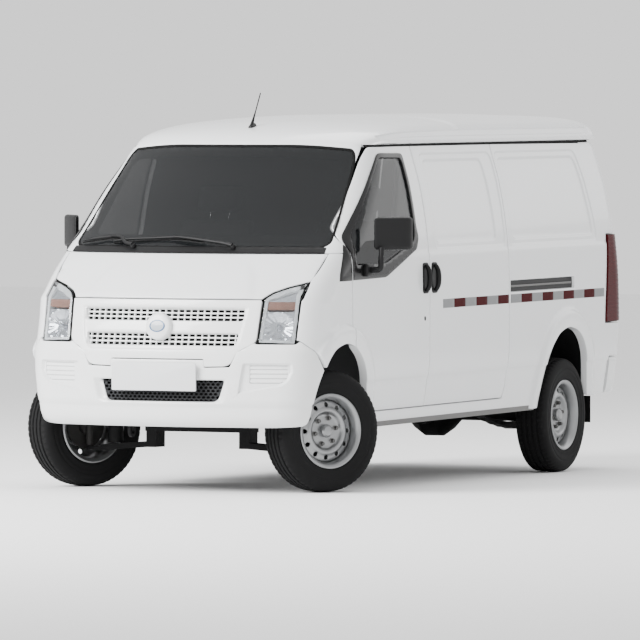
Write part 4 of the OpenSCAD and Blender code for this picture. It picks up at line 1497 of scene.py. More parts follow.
@dataclass
class FrontDoor:
    """One hinged front door with its glass, black window trim, handle, lock and mirror."""
    lines: Lines
    side: int
    word: str
    wall: float = .036

    @property
    def body(self) -> str:
        """Name of the door's body."""
        return f"door_{self.word}"

    def build(self) -> None:
        """Builds the door's pieces."""
        lines, skin, side = self.lines, self.lines.skin, self.side
        radii = (.006, .006, .02, .04, .03, .02, .02, .03, .006, .12, .12, .12, .006)
        loop = inset_loop(rounded(lines.door, radii, .013), SEAM)
        arch = lines.arch_span(-1.7, -1.34)
        relief = added(creases, flare(arch, .102, .016))
        guides = tuple(g[g[:, 1] < 1.0] for g in crease_guides(-1.27, -.58)[:3])
        guides += tuple(offset_line(arch, t) for t in (.02, .05, .08, .09, .102))
        hole = rounded(lines.pane, (.02, .05, .03, .03, .03, .03, .03), .014)
        hole = inset_loop(hole, -.006)
        panel = Panel(f"door_skin_{self.word}", Chart.SIDE, loop, (hole,), self.wall, .022, .003, relief,
                      guides)
        panel.fitted(skin, side, (PAINT, CARD), self.body, "white_paint",
            f"front_door_{self.word}")
        outer = rounded(lines.garnish, (.004, .03, .02, .02, .02, .03, .03, .02, .02, .004), .013)
        pane = rounded(lines.pane, (.02, .05, .03, .03, .03, .03, .03), .014)
        trim = Panel(f"door_trim_{self.word}", Chart.SIDE, outer, (pane,), .01, .02, .0015, None, (), .0022)
        trim.fitted(skin, side, (GLOSS_BLACK,), self.body, "black_plastic")
        glass = Panel(f"door_pane_{self.word}", Chart.SIDE, inset_loop(pane, -.004), (), .0105, .03, .0006,
                      None, (), -.0065)
        glass.fitted(skin, side, (GLASS,), self.body, "glass", f"door_glass_{self.word}")
        handle(self.lines, f"door_handle_{self.word}", (-.632, 1.084), side, self.body)
        self.lock()
        self.mirror()

    def lock(self) -> None:
        """Key plate under the handle."""
        t = np.linspace(0, 2 * np.pi, 20, endpoint=False)
        ring = np.stack([-.642 + .009 * np.cos(t), .87 + .012 * np.sin(t)], 1)
        disc = Panel(f"door_lock_{self.word}", Chart.SIDE, ring, (), .002, .006, .001, None, (), .0025)
        disc.fitted(self.lines.skin, self.side, (BLACK,), self.body, "black_plastic")

    def mirror(self) -> None:
        """Black mirror: foot, cranked arm, shell with a bowed front, and the glass behind."""
        side = self.side
        place = self.place_side

        def shell(p: Array) -> Array:
            """Turns the shell's outer edge rearwards, narrows its back and bows its front.

            Args:
                p: Points, n by 3, in metres, level.

            Returns:
                The moved points.
            """
            t = (p[:, 1] + 1.405) / .09
            grow = 1 - .12 * (1 - np.clip(t, 0, 1)) ** 2
            out = p.copy()
            out[:, 2] = 1.334 + (p[:, 2] - 1.334) * grow
            out[:, 1] += 1.02 * (p[:, 0] - .862) - .01 * np.cos(np.pi * (p[:, 0] - .936) / .15) * (1 - t)
            return out * np.array([side, 1, 1])

        def face(p: Array) -> Array:
            """Mirror side only."""
            return p * np.array([side, 1, 1])

        parts = [lump("shell", (.862, -1.393, 1.245), (1.008, -1.343, 1.423), BLACK, .018, shell),
                 lump("foot", (.818, -1.433, 1.112), (.85, -1.337, 1.178), BLACK, .012, face),
                 tube("arm", place(((.84, -1.385, 1.145), (.88, -1.385, 1.146), (.903, -1.385, 1.16),
                                    (.905, -1.385, 1.2), (.905, -1.378, 1.262))),
                                    (.017, .017, .015, .0145, .014),
                      BLACK)]
        fit(joined(f"mirror_shell_{self.word}", parts), self.body, "black_plastic", f"mirror_{self.word}")
        t = rounded(box(.876, 1.262, .994, 1.406), .012, .01)
        pane = slab(f"mirror_pane_{self.word}", t,
                    lambda p: tip(np.stack([side * p[:, 0], -1.3425 + 1.02 * (p[:, 0] - .862) + p[:, 2],
                                            p[:, 1]], 1)),
                    .0022, MIRROR_GLASS, .0006)
        fit(pane, self.body, "glass")

    def place_side(self, points: Sequence) -> Array:
        """Level points of this side, tipped with the body."""
        return tip(mirrored(np.asarray(points, float), self.side))


def handle(lines: Lines, name: str, centre: tuple, side: int, body: str) -> None:
    """An upright black handle: a rounded plate with a sunk cup, and a bowed grip over it.

    Args:
        lines: Shared seams.
        name: Name of the piece.
        centre: Middle, as (y, z).
        side: 1 for the left, -1 for the right.
        body: Body that it rides on.
    """
    y, z = centre
    plate = rounded(box(y - .038, z - .082, y + .038, z + .082), .024,
                    .008)
    cup = rounded(box(y - .026, z - .06, y + .026, z + .06), .02,
                  .008)
    base = Panel("plate", Chart.SIDE, plate, (), .004, .008, .003, plateau(cup, .0045, .008), (cup,), .005)
    skin = lines.skin
    flat = np.array([(y - .004, z + d) for d in (-.068, -.056, -.03, 0, .03, .056, .068)])
    out = np.array([.006, .016, .026, .028, .026, .016, .006])
    path = skin.point(Chart.SIDE, flat) + skin.normal(Chart.SIDE, flat) * out[:, None]
    grip = tube("grip", tip(mirrored(path, side)), (.011, .0125, .0135, .014, .0135, .0125, .011), BLACK)
    fit(joined(name, [base.build(skin, [BLACK.material()], side), grip]), body, "black_plastic")


@dataclass
class SlidingDoor:
    """One sliding door, shut: pressed window shape and handle."""
    lines: Lines
    side: int
    word: str

    def build(self) -> None:
        """Builds the door's pieces."""
        skin, side = self.lines.skin, self.side
        loop = inset_loop(rounded(self.lines.slide, (.006, .03, .03, .006, .006), .013), SEAM)
        press = rounded(((-.455, 1.262), (.375, 1.262), (.345, 1.716), (-.455, 1.716)), .055, .013)
        field = rounded(box(-.495, 1.232, .48, 1.748), .06, .014)
        panel = Panel(f"sliding_skin_{self.word}", Chart.SIDE, loop, (), .034, .022, .003,
                      added(creases, plateau(field, .006, .012), plateau(press, .008, .016)),
                      crease_guides(-.56, .5) + rings(press, .016) + rings(field, .012))
        panel.fitted(skin, side, (PAINT, CARD), BODY, "white_paint",
            f"sliding_door_{self.word}")
        handle(self.lines, f"sliding_handle_{self.word}", (-.514, 1.084), side, BODY)


def stripes(lines: Lines) -> None:
    """The reflective tape: blocks of red and pale grey in turn along both sides.

    Args:
        lines: Shared seams.
    """
    skin = lines.skin
    runs = ((-.402, .496, 6), (.522, 1.868, 9))
    for side, word in SIDES:
        parts = []
        for low, high, count in runs:
            width = (high - low) / count
            for k in range(count):
                a, b = low + width * k + .0006, low + width * (k + 1) - .0006
                loop = rounded(box(a, .918, b, .966), .001, .02)
                finish = RED if k % 2 else SILVER_STRIPE
                parts.append(Panel("tape", Chart.SIDE, loop, (), .0002, .03, .0002, None, (), .0009)
                             .build(skin, [finish.material()], side))
        fit(joined(f"tape_{word}", parts), BODY, "white_paint")


@dataclass
class Glazing:
    """Windscreen with its black border, the cowl under it and the wipers."""
    lines: Lines

    def build(self) -> None:
        """Builds the pieces."""
        skin, lines = self.lines.skin, self.lines
        radii = (.02, .02, .02, .05, .05, .2, .2, .05, .05, .02)
        seen = rounded(lines.screen, radii, .014)
        flat = skin.flat(Chart.TOP, lines.on_screen(inset_loop(seen, .0035)))
        pane = Panel("windscreen_pane", Chart.TOP, flat, (), .0095, .03, .0008, None, (), -.004)
        pane.fitted(skin, LEFT, (GLASS,), BODY, "glass", "windscreen")
        inner = rounded(((-.64, 1.335), (.64, 1.335), (.612, 1.69), (.585, 1.722), (.3, 1.738),
                         (-.3, 1.738),
                         (-.585, 1.722), (-.612, 1.69)), (.04, .04, .05, .06, .2, .2, .06, .05), .014)
        hole = skin.flat(Chart.TOP, lines.on_screen(inner))
        outer = skin.flat(Chart.TOP, lines.on_screen(inset_loop(seen, .001)))
        border = Panel("windscreen_border", Chart.TOP, outer, (hole,), .012, .022, .0005, None, (), -.0102)
        border.fitted(skin, LEFT, (GLOSS_BLACK,), BODY, "black_plastic")
        seal = Panel("windscreen_seal", Chart.TOP, skin.flat(Chart.TOP,
                                                             lines.on_screen(inset_loop(seen, -.001))),
                     (skin.flat(Chart.TOP, lines.on_screen(inset_loop(seen, .0115))),), .008, .02, .0008,
                     None, (), -.0022)
        seal.fitted(skin, LEFT, (RUBBER,), BODY, "black_rubber")
        cowl = rounded(((-.728, 1.2385), (.728, 1.2385), (.722, 1.2665), (-.722, 1.2665)), .004, .014)
        rib = Panel("cowl_cover", Chart.TOP, skin.flat(Chart.TOP, lines.on_screen(cowl)), (), .004, .014,
                    .001, None, (), .0016)
        rib.fitted(skin, LEFT, (BLACK,), BODY, "black_plastic")
        parts = []
        for pivot, tip_x in ((.25, -.42), (-.33, -.62)):
            parts += self.wiper(pivot, tip_x)
        fit(joined("wiper_set", parts), BODY, "black_plastic", "wipers")

    def over(self, xz: Sequence, rise: float) -> Array:
        """Tipped points at a height over the glass."""
        p = self.lines.on_screen(np.asarray(xz, float))
        return tip(p + np.array([0, -.68, .73]) * rise)

    def wiper(self, pivot: float, tip_x: float) -> list:
        """One wiper: pivot cap, arm, and a blade with its rubber along the glass.

        Args:
            pivot: x of the pivot.
            tip_x: x of the blade's tip.

        Returns:
            The wiper's pieces.
        """
        mid = (pivot + tip_x) / 2
        far = tip_x + (-.06 if tip_x < -.5 else -.05)
        near = mid + .16 if pivot > 0 else mid + .1
        arm = tube("arm", self.over(((pivot, 1.262), (pivot - .05, 1.272), (mid + .04, 1.3),
                                     (mid - .02, 1.304)),
                                    .022), (.011, .009, .006, .005), BLACK)
        blade = tube("blade", self.over(((near, 1.292), (mid, 1.306), (far + .05, 1.29), (far, 1.282)),
                                        .014),
                     (.004, .007, .006, .003), BLACK)
        lip = tube("lip", self.over(((near, 1.289), (mid, 1.302), (far, 1.279)), .006), .003, RUBBER)
        cap = turned("cap", np.array([(0, -.004), (.014, -.004), (.014, .012), (.01, .018), (0, .02)]),
                     self.over(((pivot, 1.262),), .006)[0], np.array([0, -.68, .73]), BLACK, 24,
                     close=False)
        return [arm, blade, lip, outward(cap)]


# ---- the front ----

@dataclass
class Front:
    """Hood, grille panel, bumper and lamps."""
    lines: Lines

    def build(self) -> None:
        """Builds the front's pieces."""
        self.hood()
        self.grille()
        self.bumper()
        self.plate()
        for side, word in SIDES:
            Headlamp(self.lines, side, word).build()

    def hood(self) -> None:
        """Short sloping hood, with a crease on each side that runs up from the lamp."""
        skin = self.lines.skin
        s = SEAM
        left = [(.5325 + s, 1.0125), (.545, 1.0245 + s), (.577, 1.0485 + s), (.639, 1.0745 + s),
                (.7335, 1.1035), (.7375, 1.12), (.7445, 1.2345)]
        seen = np.array([(-x, z) for x, z in reversed(left)] + [(x, z) for x, z in left])
        loop = skin.from_front(Chart.FRONT, rounded(np.round(seen, 4), .004, .016))

        def crease(uv: Array) -> Array:
            """Side fields fall away 7 mm outside a line from the lamp's inner corner up and out.

            Args:
                uv: Flat coordinates, n by 2.

            Returns:
                Relief, positive inwards.
            """
            x = np.abs(uv[:, 0])
            line = .565 + (uv[:, 1] - 1.02) * .5
            return .007 * step_up(x, line - .004, line + .055) * (1 - step_up(uv[:, 1], 1.12, 1.22))
        panel = Panel("hood_skin", Chart.FRONT, loop, (), .012, .022, .0032, crease)
        panel.fitted(skin, LEFT, (PAINT, CHASSIS), "hood", "white_paint", "hood")

    def grille(self) -> None:
        """White panel with two slots of small openings, a raised frame round them and a round boss."""
        skin, lines = self.lines.skin, self.lines
        loop = lines.on_nose(inset_loop(rounded(lines.grille, (.01, .03, .05, .05, .008, .008, .008, .008,
                                                               .05, .05, .03, .01), .013), SEAM * .8))
        slots = (((-.446, .899), (.446, .899), (.458, .959), (-.458, .959)),
                 ((-.418, .775), (.418, .775), (.436, .833), (-.436, .833)))
        holes = tuple(lines.on_nose(rounded(q, .01, .012)) for q in slots)
        frame = lines.on_nose(rounded(((-.405, .745), (.405, .745), (.448, .79), (.478, .972),
                                       (-.478, .972), (-.448, .79)), (.05, .05, .06, .02, .02, .06), .013))
        shade = tuple(lines.on_nose(rounded(((a - .008 * q, z0), (b + .008 * q, z0), (b + .01, z1),
                                             (a - .01, z1)),
                                            .014, .012))
                      for q, a, b, z0, z1 in ((1, -.45, .45, .893, .966), (1, -.425, .425, .769, .84)))
        relief = added(plateau(frame, .006, .012), plateau(shade[0], .01, .01), plateau(shade[1], .01, .01))
        guides = rings(frame, .012) + rings(shade[0], .01) + rings(shade[1], .01)
        panel = Panel("grille_panel", Chart.FRONT, loop, holes, .026, .018, .0025, relief, guides)
        panel.fitted(skin, LEFT, (BUMPER,), BODY, "white_plastic", "grille")
        bars = []
        for low, high, wide in ((.89, .968, .47), (.766, .842, .447)):
            outline = lines.on_nose(rounded(box(-wide, low, wide, high), .003, .012))
            cells = []
            middle = (low + high) / 2
            for row in (-1, 0, 1):
                for col in range(-12, 13):
                    x, z = col * .0362, middle + row * .0212
                    cells.append(lines.on_nose(divided(np.array([(x - .0158, z - .0074),
                                                                 (x + .0158, z - .0074),
                                                                 (x + .0158, z + .0074),
                                                                 (x - .0158, z + .0074)]),
                                                       .011, closed=True)))
            bars.append(Panel("bars", Chart.FRONT, outline, tuple(cells), .034, .016, .0008, None, (), -.02)
                        .build(skin, [BUMPER.material()]))
        fit(joined("grille_bars", bars), BODY, "white_plastic")
        back = lines.on_nose(rounded(((-.45, .765), (.45, .765), (.46, .965), (-.46, .965)), .01, .03))
        fit(Panel("grille_dark", Chart.FRONT, back, (), .05, .03, .001, None, (), -.044)
            .build(skin, [CHASSIS.material()]), BODY, "black_chassis")
        self.boss()

    def boss(self) -> None:
        """Round white boss with a plain oval disc, both blank."""
        form = self.lines.skin.form
        y = float(form.nose_y(.865))
        lean = np.array([0, -math.cos(math.radians(10)), math.sin(math.radians(10))])
        centre = np.array([0.0, y, .864])
        profile = np.array([(.0, -.02), (.07, -.02), (.07, .012), (.0675, .0185), (.062, .0225),
                            (.05, .0255), (.03, .0275), (0, .028)])
        boss = turned("boss", profile, tip(centre), tip(centre + lean) - tip(centre), BUMPER, 72,
                      close=False)
        n, u, v = frame_of(tip(centre + lean) - tip(centre))
        t = np.linspace(0, 2 * np.pi, 60, endpoint=False)
        ellipse = np.cos(t)[:, None] * u * .044 + np.sin(t)[:, None] * v * .032
        rows = []
        for size, rise in ((1.0, .024), (1.0, .0285), (.96, .03), (.86, .0302), (.82, .029), (.45, .03),
                           (.0001, .0303)):
            rows.append(tip(centre) + n * rise + size * ellipse)
        oval = make_mesh("oval", np.concatenate(rows[:5]), grid_faces(5, 60, False, True),
                         [BADGE_EDGE.material()])
        face = make_mesh("face", np.concatenate(rows[4:]), grid_faces(3, 60, False, True),
                         [BADGE.material()])
        fit(joined("front_boss", [outward(boss), oval, outward(face)]), BODY, "white_plastic")

    def bumper(self) -> None:
        """Painted bumper to the wheel arches: mesh intake, louvred blanks, tow cover and lower lip."""
        skin, lines = self.lines.skin, self.lines
        arch = lines.arch_span(-1.989, -1.918)
        arch = skin.flat(Chart.FRONT, skin.point(Chart.SIDE, arch[::-1]))
        top = np.array([(.7265, .7785), (.535, .7785), (.519, .785), (.438, .7365), (.402, .6605),
                        (.2665, .6565), (.2645, .6965)])
        top = skin.from_front(Chart.FRONT, np.round(top, 4))
        shelf = skin.flat(Chart.FRONT, skin.point(Chart.SIDE, np.array([(-1.986, .7365), (-2.044, .7925)])))
        bottom = skin.from_front(Chart.FRONT, np.array([(.6, .346), (0.0, .346)]))
        half = np.concatenate([bottom[::-1], arch[::-1], shelf, top])
        loop = np.concatenate([half[1:], (half * [-1, 1])[::-1][:-1]])
        loop = rounded(loop, .005, .014)
        intake = lines.on_nose(rounded(((-.3, .48), (.335, .48), (.372, .592), (-.332, .592)),
                                       (.03, .03, .008, .008), .012))
        scoop = lines.on_nose(rounded(((-.345, .47), (.375, .47), (.392, .602), (-.38, .602)),
                                      (.04, .04, .01, .01), .012))
        fog = rounded(((.505, .577), (.668, .577), (.699, .604), (.699, .672), (.505, .672)),
                      (.006, .02, .02, .008, .006), .012)
        dip = rounded(((.47, .684), (.716, .684), (.724, .64), (.705, .592), (.668, .562), (.44, .52)),
                      .014, .012)
        holes, reliefs, guides = [intake], [plateau(scoop, .022, .03)], list(rings(scoop, .03))
        for side in (1, -1):
            shape = skin.from_front(Chart.FRONT, np.round(fog, 3)) * [side, 1]
            low_field = skin.from_front(Chart.FRONT, np.round(dip, 3)) * [side, 1]
            holes.append(shape)
            reliefs.append(plateau(low_field, .014, .012))
            guides += list(rings(low_field, .012))
        line = np.linspace(-.85, .85, 120)
        for z in (.4475, .456, .47, .73, .74, .756):
            guides.append(np.stack([line, np.full(120, z)], 1))
        panel = Panel("bumper_skin", Chart.FRONT, loop, tuple(holes), .028, .02, .003, added(*reliefs),
                      tuple(guides))
        panel.fitted(skin, LEFT, (BUMPER, CHASSIS), BODY, "white_plastic", "front_bumper")
        self.mesh(intake)
        for side, word in SIDES:
            self.louvres(side, word)
        t = np.linspace(0, 2 * np.pi, 40, endpoint=False)
        ring = lines.on_nose(np.stack([.418 + .029 * np.cos(t), .536 + .029 * np.sin(t)], 1))
        inner = lines.on_nose(np.stack([.418 + .026 * np.cos(t), .536 + .026 * np.sin(t)], 1))
        cover = Panel("tow_cover", Chart.FRONT, ring, (), .004, .01, .0012, plateau(inner, .0012, .002),
                      (inner,), .0012)
        cover.fitted(skin, LEFT, (BUMPER,), BODY, "white_plastic")

    def mesh(self, intake: Array) -> None:
        """Honeycomb in the intake, and the dark behind it.

        Args:
            intake: The intake's outline, flat.
        """
        skin, lines = self.lines.skin, self.lines
        outline = inset_loop(intake, -.006)
        cells = []
        t = np.linspace(0, 2 * np.pi, 6, endpoint=False)
        for row in range(-4, 5):
            for col in range(-16, 17):
                x, z = .018 + (col + .5 * (row % 2)) * .0262, .536 + row * .0168
                cell = lines.on_nose(np.stack([x + .0112 * np.cos(t), z + .0078 * np.sin(t)], 1))
                if inside_loop(cell, outline).all() and loop_distance(cell, outline).min() > .0015:
                    cells.append(cell)
        comb = Panel("intake_mesh", Chart.FRONT, outline, tuple(cells), .04, .03, .0006, None, (), -.031)
        comb.fitted(skin, LEFT, (DASH,), BODY, "black_plastic")
        dark = Panel("intake_dark", Chart.FRONT, inset_loop(intake, -.01), (), .064, .03, .001, None, (),
                     -.06)
        dark.fitted(skin, LEFT, (CHASSIS,), BODY, "black_chassis")

    def louvres(self, side: int, word: str) -> None:
        """Four white slats that close one lamp opening of the bumper.

        Args:
            side: 1 for the left, -1 for the right.
            word: Left or right, as the pieces' names have it.
        """
        skin = self.lines.skin
        seen = rounded(((.502, .574), (.669, .574), (.702, .602), (.702, .675), (.502, .675)),
                       (.004, .02, .02, .006, .004), .012)
        loop = skin.from_front(Chart.FRONT, np.round(seen, 3)) * [side, 1]
        low, high = .577, .672

        def slats(uv: Array) -> Array:
            """Sawtooth of four slats: 14 mm deep at each foot, flush at its head.

            Args:
                uv: Flat coordinates, n by 2.

            Returns:
                Relief, positive inwards.
            """
            t = (uv[:, 1] - low) / (high - low) * 4
            saw = t - np.floor(t)
            return .014 * (1 - step_up(saw, .04, .26)) + .006 * saw
        y = np.linspace(loop[:, 0].min(), loop[:, 0].max(), 26)
        guides = tuple(np.stack([y, np.full(26, low + (k + d) * (high - low) / 4)], 1)
                       for k in range(4) for d in (.01, .1, .22, .6, .97))
        panel = Panel(f"bumper_louvre_{word}", Chart.FRONT, loop, (), .024, .012, .001, slats, guides,
                      -.014)
        panel.fitted(skin, LEFT, (BUMPER,), BODY, "white_plastic")

    def plate(self) -> None:
        """Blank number plate on its bracket."""
        seen = rounded(box(-.246, .536, .234, .68), .006, .02)
        place = lambda p: tip(np.stack([p[:, 0], -2.218 - p[:, 2], p[:, 1]], 1))
        face = slab("face", seen, place, .0065, PLATE, .002)
        stay = lump("stay", (-.06, -2.2185, .6), (.05, -2.176, .64), BLACK, .004)
        fit(joined("number_plate", [face, stay]), BODY, "white_plastic")


@dataclass
class Headlamp:
    """One headlamp: clear lens, dark seal, pale housing, fluted reflector, bulb and turn signal."""
    lines: Lines
    side: int
    word: str

    def build(self) -> None:
        """Builds the lamp's pieces."""
        skin, side = self.lines.skin, self.side
        seen = rounded(self.lines.lamp, (.01, .01, .01, .05, .04, .02), .012)
        flat = skin.from_front(Chart.FRONT, np.round(seen, 3)) * [side, 1]
        lens = Panel(f"lamp_lens_{self.word}", Chart.FRONT, inset_loop(flat, .0065), (), .0035, .022, .0012,
                     None, (), -.0005)
        lens.fitted(skin, LEFT, (LENS,), BODY, "lamp_clear", "headlights")
        seal = Panel(f"lamp_seal_{self.word}", Chart.FRONT, inset_loop(flat, .001),
                     (inset_loop(flat, .006),), .012, .02, .001, None, (), -.003)
        seal.fitted(skin, LEFT, (RUBBER,), BODY, "black_rubber")
        frame = Panel(f"lamp_frame_{self.word}", Chart.FRONT, inset_loop(flat, .0052),
                      (inset_loop(flat, .022),), .042, .02, .002, None, (), -.0075)
        frame.fitted(skin, LEFT, (BUMPER,), BODY, "lamp_clear")
        bowl = self.field((.556, .8), (.712, .946), .018)
        self.bowl_piece(bowl)
        upper = rounded(((.56, 1.004), (.7, 1.004), (.706, 1.072), (.64, 1.058), (.59, 1.034)), .008, .012)
        flat_upper = skin.from_front(Chart.FRONT, np.round(upper, 3)) * [side, 1]
        top = Panel(f"lamp_top_{self.word}", Chart.FRONT, inset_loop(flat_upper, -.006), (), .034, .012,
                    .002, self.flutes(.0022, .0035), (), -.018)
        top.fitted(skin, LEFT, (CHROME,), BODY, "lamp_clear")
        amber = self.field((.558, .957), (.708, .997), .008)
        turn = Panel(f"lamp_turn_{self.word}", Chart.FRONT, amber, (), .03, .007, .002,
                     self.flutes(.002, .0045), (), -.012)
        turn.fitted(skin, LEFT, (AMBER,), BODY, "lamp_clear")
        back = Panel(f"lamp_back_{self.word}", Chart.FRONT, inset_loop(flat, .009), (), .05, .03, .001,
                     None, (), -.047)
        back.fitted(skin, LEFT, (CHROME,), BODY, "lamp_clear")

    def field(self, low: tuple, high: tuple, radius: float) -> Array:
        """Rounded rectangle seen from the front, in flat coordinates of this side."""
        seen = rounded((low, (high[0], low[1]), high, (low[0], high[1])), radius, .01)
        return self.lines.skin.from_front(Chart.FRONT, np.round(seen, 3)) * [self.side, 1]

    def flutes(self, rise: float, pitch: float) -> Callable[[Array], Array]:
        """Upright flutes: rise times a raised cosine across the lamp."""
        return lambda uv: rise * .5 * (1 - np.cos(2 * np.pi * uv[:, 0] / pitch))

    def bowl_piece(self, loop: Array) -> None:
        """Reflector: a round bowl sunk in a fluted field, with a bulb in front of it.

        Args:
            loop: The bowl's outline, flat.
        """
        skin = self.lines.skin
        middle = loop.mean(0)

        def bowl(uv: Array) -> Array:
            """Paraboloid round the middle, 26 mm deep, with fourteen facets stepping round it.

            Args:
                uv: Flat coordinates, n by 2.

            Returns:
                Relief, positive inwards.
            """
            off = uv - middle
            r = np.hypot(off[:, 0], off[:, 1])
            turn = np.arctan2(off[:, 1], off[:, 0])
            dish = .026 * np.maximum(0, 1 - (r / .07) ** 2)
            step = .002 * np.cos(14 * turn) * step_up(r, .018, .05)
            return dish + step
        panel = Panel("bowl", Chart.FRONT, loop, (), .046, .0055, .0015, bowl, (), -.012)
        piece = panel.build(skin, [CHROME.material()])
        p = skin.point(Chart.FRONT, middle[None])[0]
        n = skin.normal(Chart.FRONT, middle[None])[0]
        bulb = turned("bulb", np.array([(0, -.036), (.01, -.036), (.012, -.026), (.0105, -.016),
                                        (.006, -.011),
                                        (0, -.01)]), tip(p), tip(p + n) - tip(p), CHROME, 28, close=False)
        fit(joined(f"lamp_bowl_{self.word}", [piece, outward(bulb)]), BODY, "lamp_clear")


# ---- the rear ----

@dataclass
class Rear:
    """Tailgate with its glass, the tail lamps and the rear bumper."""
    lines: Lines

    def build(self) -> None:
        """Builds the rear's pieces."""
        skin, lines = self.lines.skin, self.lines
        seen = inset_loop(rounded(lines.gate, (.02, .02, .05, .03, .03, .03, .03, .05), .014), SEAM)
        loop = skin.from_front(Chart.REAR, np.round(seen, 3))
        pane_seen = rounded(lines.gate_pane, .05, .014)
        hole = skin.from_front(Chart.REAR, np.round(pane_seen, 3))
        recess_seen = rounded(box(-.3, .745, .3, .92), .02, .012)
        recess = skin.from_front(Chart.REAR, np.round(recess_seen, 3))
        panel = Panel("tailgate_skin", Chart.REAR, loop, (hole,), .034, .024, .003,
                      plateau(recess, .012, .014), rings(recess, .014))
        panel.fitted(skin, LEFT, (PAINT, CARD), "tailgate", "white_paint", "tailgate")
        glass = Panel("tailgate_pane", Chart.REAR, inset_loop(hole, .002), (), .0085, .03, .001, None, (),
                      -.0035)
        glass.fitted(skin, LEFT, (GLASS,), "tailgate", "glass", "tailgate_glass")
        seal = Panel("tailgate_seal", Chart.REAR, inset_loop(hole, -.0105), (inset_loop(hole, .012),),
                     .0035, .02, .0015, None, (), .0028)
        seal.fitted(skin, LEFT, (RUBBER,), "tailgate", "black_rubber")
        bar_seen = rounded(box(-.32, .936, .32, .972), .012, .012)
        bar = Panel("tailgate_grip", Chart.REAR, skin.from_front(Chart.REAR, np.round(bar_seen, 3)), (),
                    .002, .012, .005, None, (), .022)
        bar.fitted(skin, LEFT, (BLACK,), "tailgate", "black_plastic")
        plate_seen = rounded(box(-.24, .765, .24, .905), .006, .02)
        plate = Panel("rear_plate", Chart.REAR, skin.from_front(Chart.REAR, np.round(plate_seen, 3)), (),
                      .0115, .02, .001, None, (), -.0065)
        plate.fitted(skin, LEFT, (PLATE,), "tailgate", "white_plastic")
        for side, word in SIDES:
            self.lamp(side, word)
        self.bumper()

    def lamp(self, side: int, word: str) -> None:
        """Wrapped tail lamp: ribbed red lens on a dark seal.

        Args:
            side: 1 for the left, -1 for the right.
            word: Left or right, as the pieces' names have it.
        """
        skin = self.lines.skin
        lines = self.lines
        edge = lines.tail((.6985, .773), (.6985, 1.266))
        loop = rounded(np.concatenate([[(1.888, .773)], edge - [.002, 0], [(1.926, 1.266), (1.92, 1.15),
                                                                          (1.898, .9)]]), .008, .012)
        seal = Panel(f"tail_seal_{word}", Chart.SIDE, loop, (), .02, .02, .001, None, (), -.006)
        seal.fitted(skin, side, (BLACK,), BODY, "black_plastic")

        def ribs(uv: Array) -> Array:
            """Level ribs of the lens."""
            return .0007 * (1 - np.cos(2 * np.pi * uv[:, 1] / .0125))
        red = Panel(f"tail_lens_{word}", Chart.SIDE, inset_loop(loop, .003), (), .005, .0085, .0025, ribs,
                    (), .005)
        red.fitted(skin, side, (RED_LENS,), BODY, "lamp_red", "tail_lights")

    def bumper(self) -> None:
        """Wrapped rear bumper with a flat step on top and a lower return."""
        y0, y1, half, corner = 1.968, 2.238, .824, .198
        t = np.linspace(0, np.pi / 2, 26)
        arc = np.stack([half - corner + corner * np.cos(t), y1 - corner + corner * np.sin(t)], 1)
        side_line = divided(np.array([(half, y0 + .001), (half, y1 - corner)]), .02)
        mid = divided(np.array([(half - corner, y1), (-half + corner, y1)]), .03)
        path = np.concatenate([side_line, arc[1:-1], mid, (arc * [-1, 1])[::-1][1:-1],
                               (side_line * [-1, 1])[::-1], [(-half, y0 + .001)]])
        keep = np.concatenate([[True], np.linalg.norm(np.diff(path, axis=0), axis=1) > 1e-5])
        path = path[keep]
        way = np.gradient(path, axis=0)
        way /= np.linalg.norm(way, axis=1)[:, None]
        out = np.stack([way[:, 1], -way[:, 0]], 1)
        section = np.array([(-.06, .386), (-.03, .372), (-.016, .371), (-.007, .379), (-.002, .396),
                            (0, .425), (0, .455),
                            (0, .5), (0, .545), (-.001, .56), (-.007, .57), (-.018, .574), (-.06, .5745),
                            (-.06, .568), (-.03, .56), (-.026, .4)])
        section[:, 0] += self.lines.skin.form.half_width(section[:, 1]) + .0015 - half
        pts = np.concatenate([path[:, None, :] + out[:, None, :] * section[None, :, :1],
                              np.broadcast_to(section[None, :, 1:], (len(path), len(section), 1))], 2)
        m = len(section)
        faces = grid_faces(len(path), m, False, True) + end_caps(len(path), m)
        piece = make_mesh("rear_bumper_skin", tip(pts.reshape(-1, 3)), faces, [BUMPER.material()], sharp=40)
        fit(outward(piece), BODY, "white_plastic", "rear_bumper")


@dataclass
class Antenna:
    """Short black rod antenna that leans back from the middle of the roof's front."""

    def build(self) -> None:
        """Builds the foot and the rod."""
        foot = lump("foot", (-.017, -1.056, 1.876), (.017, -.996, 1.902), BLACK, .012,
                    lambda p: np.stack([p[:, 0] * (1 - .35 * (p[:, 2] - 1.876) / .026), p[:, 1], p[:, 2] +
                                        .25 * (p[:, 1] + 1.026)], 1))
        rod = tube("rod", tip(np.array(((0, -1.034, 1.894), (0, -1.012, 1.928), (0, -.985, 1.968),
                                        (0, -.923, 2.0645)))), (.01, .006, .0032, .003), BLACK)
        fit(joined("antenna_rod", [foot, rod]), BODY, "black_plastic", "antenna")


# ---- wheels ----

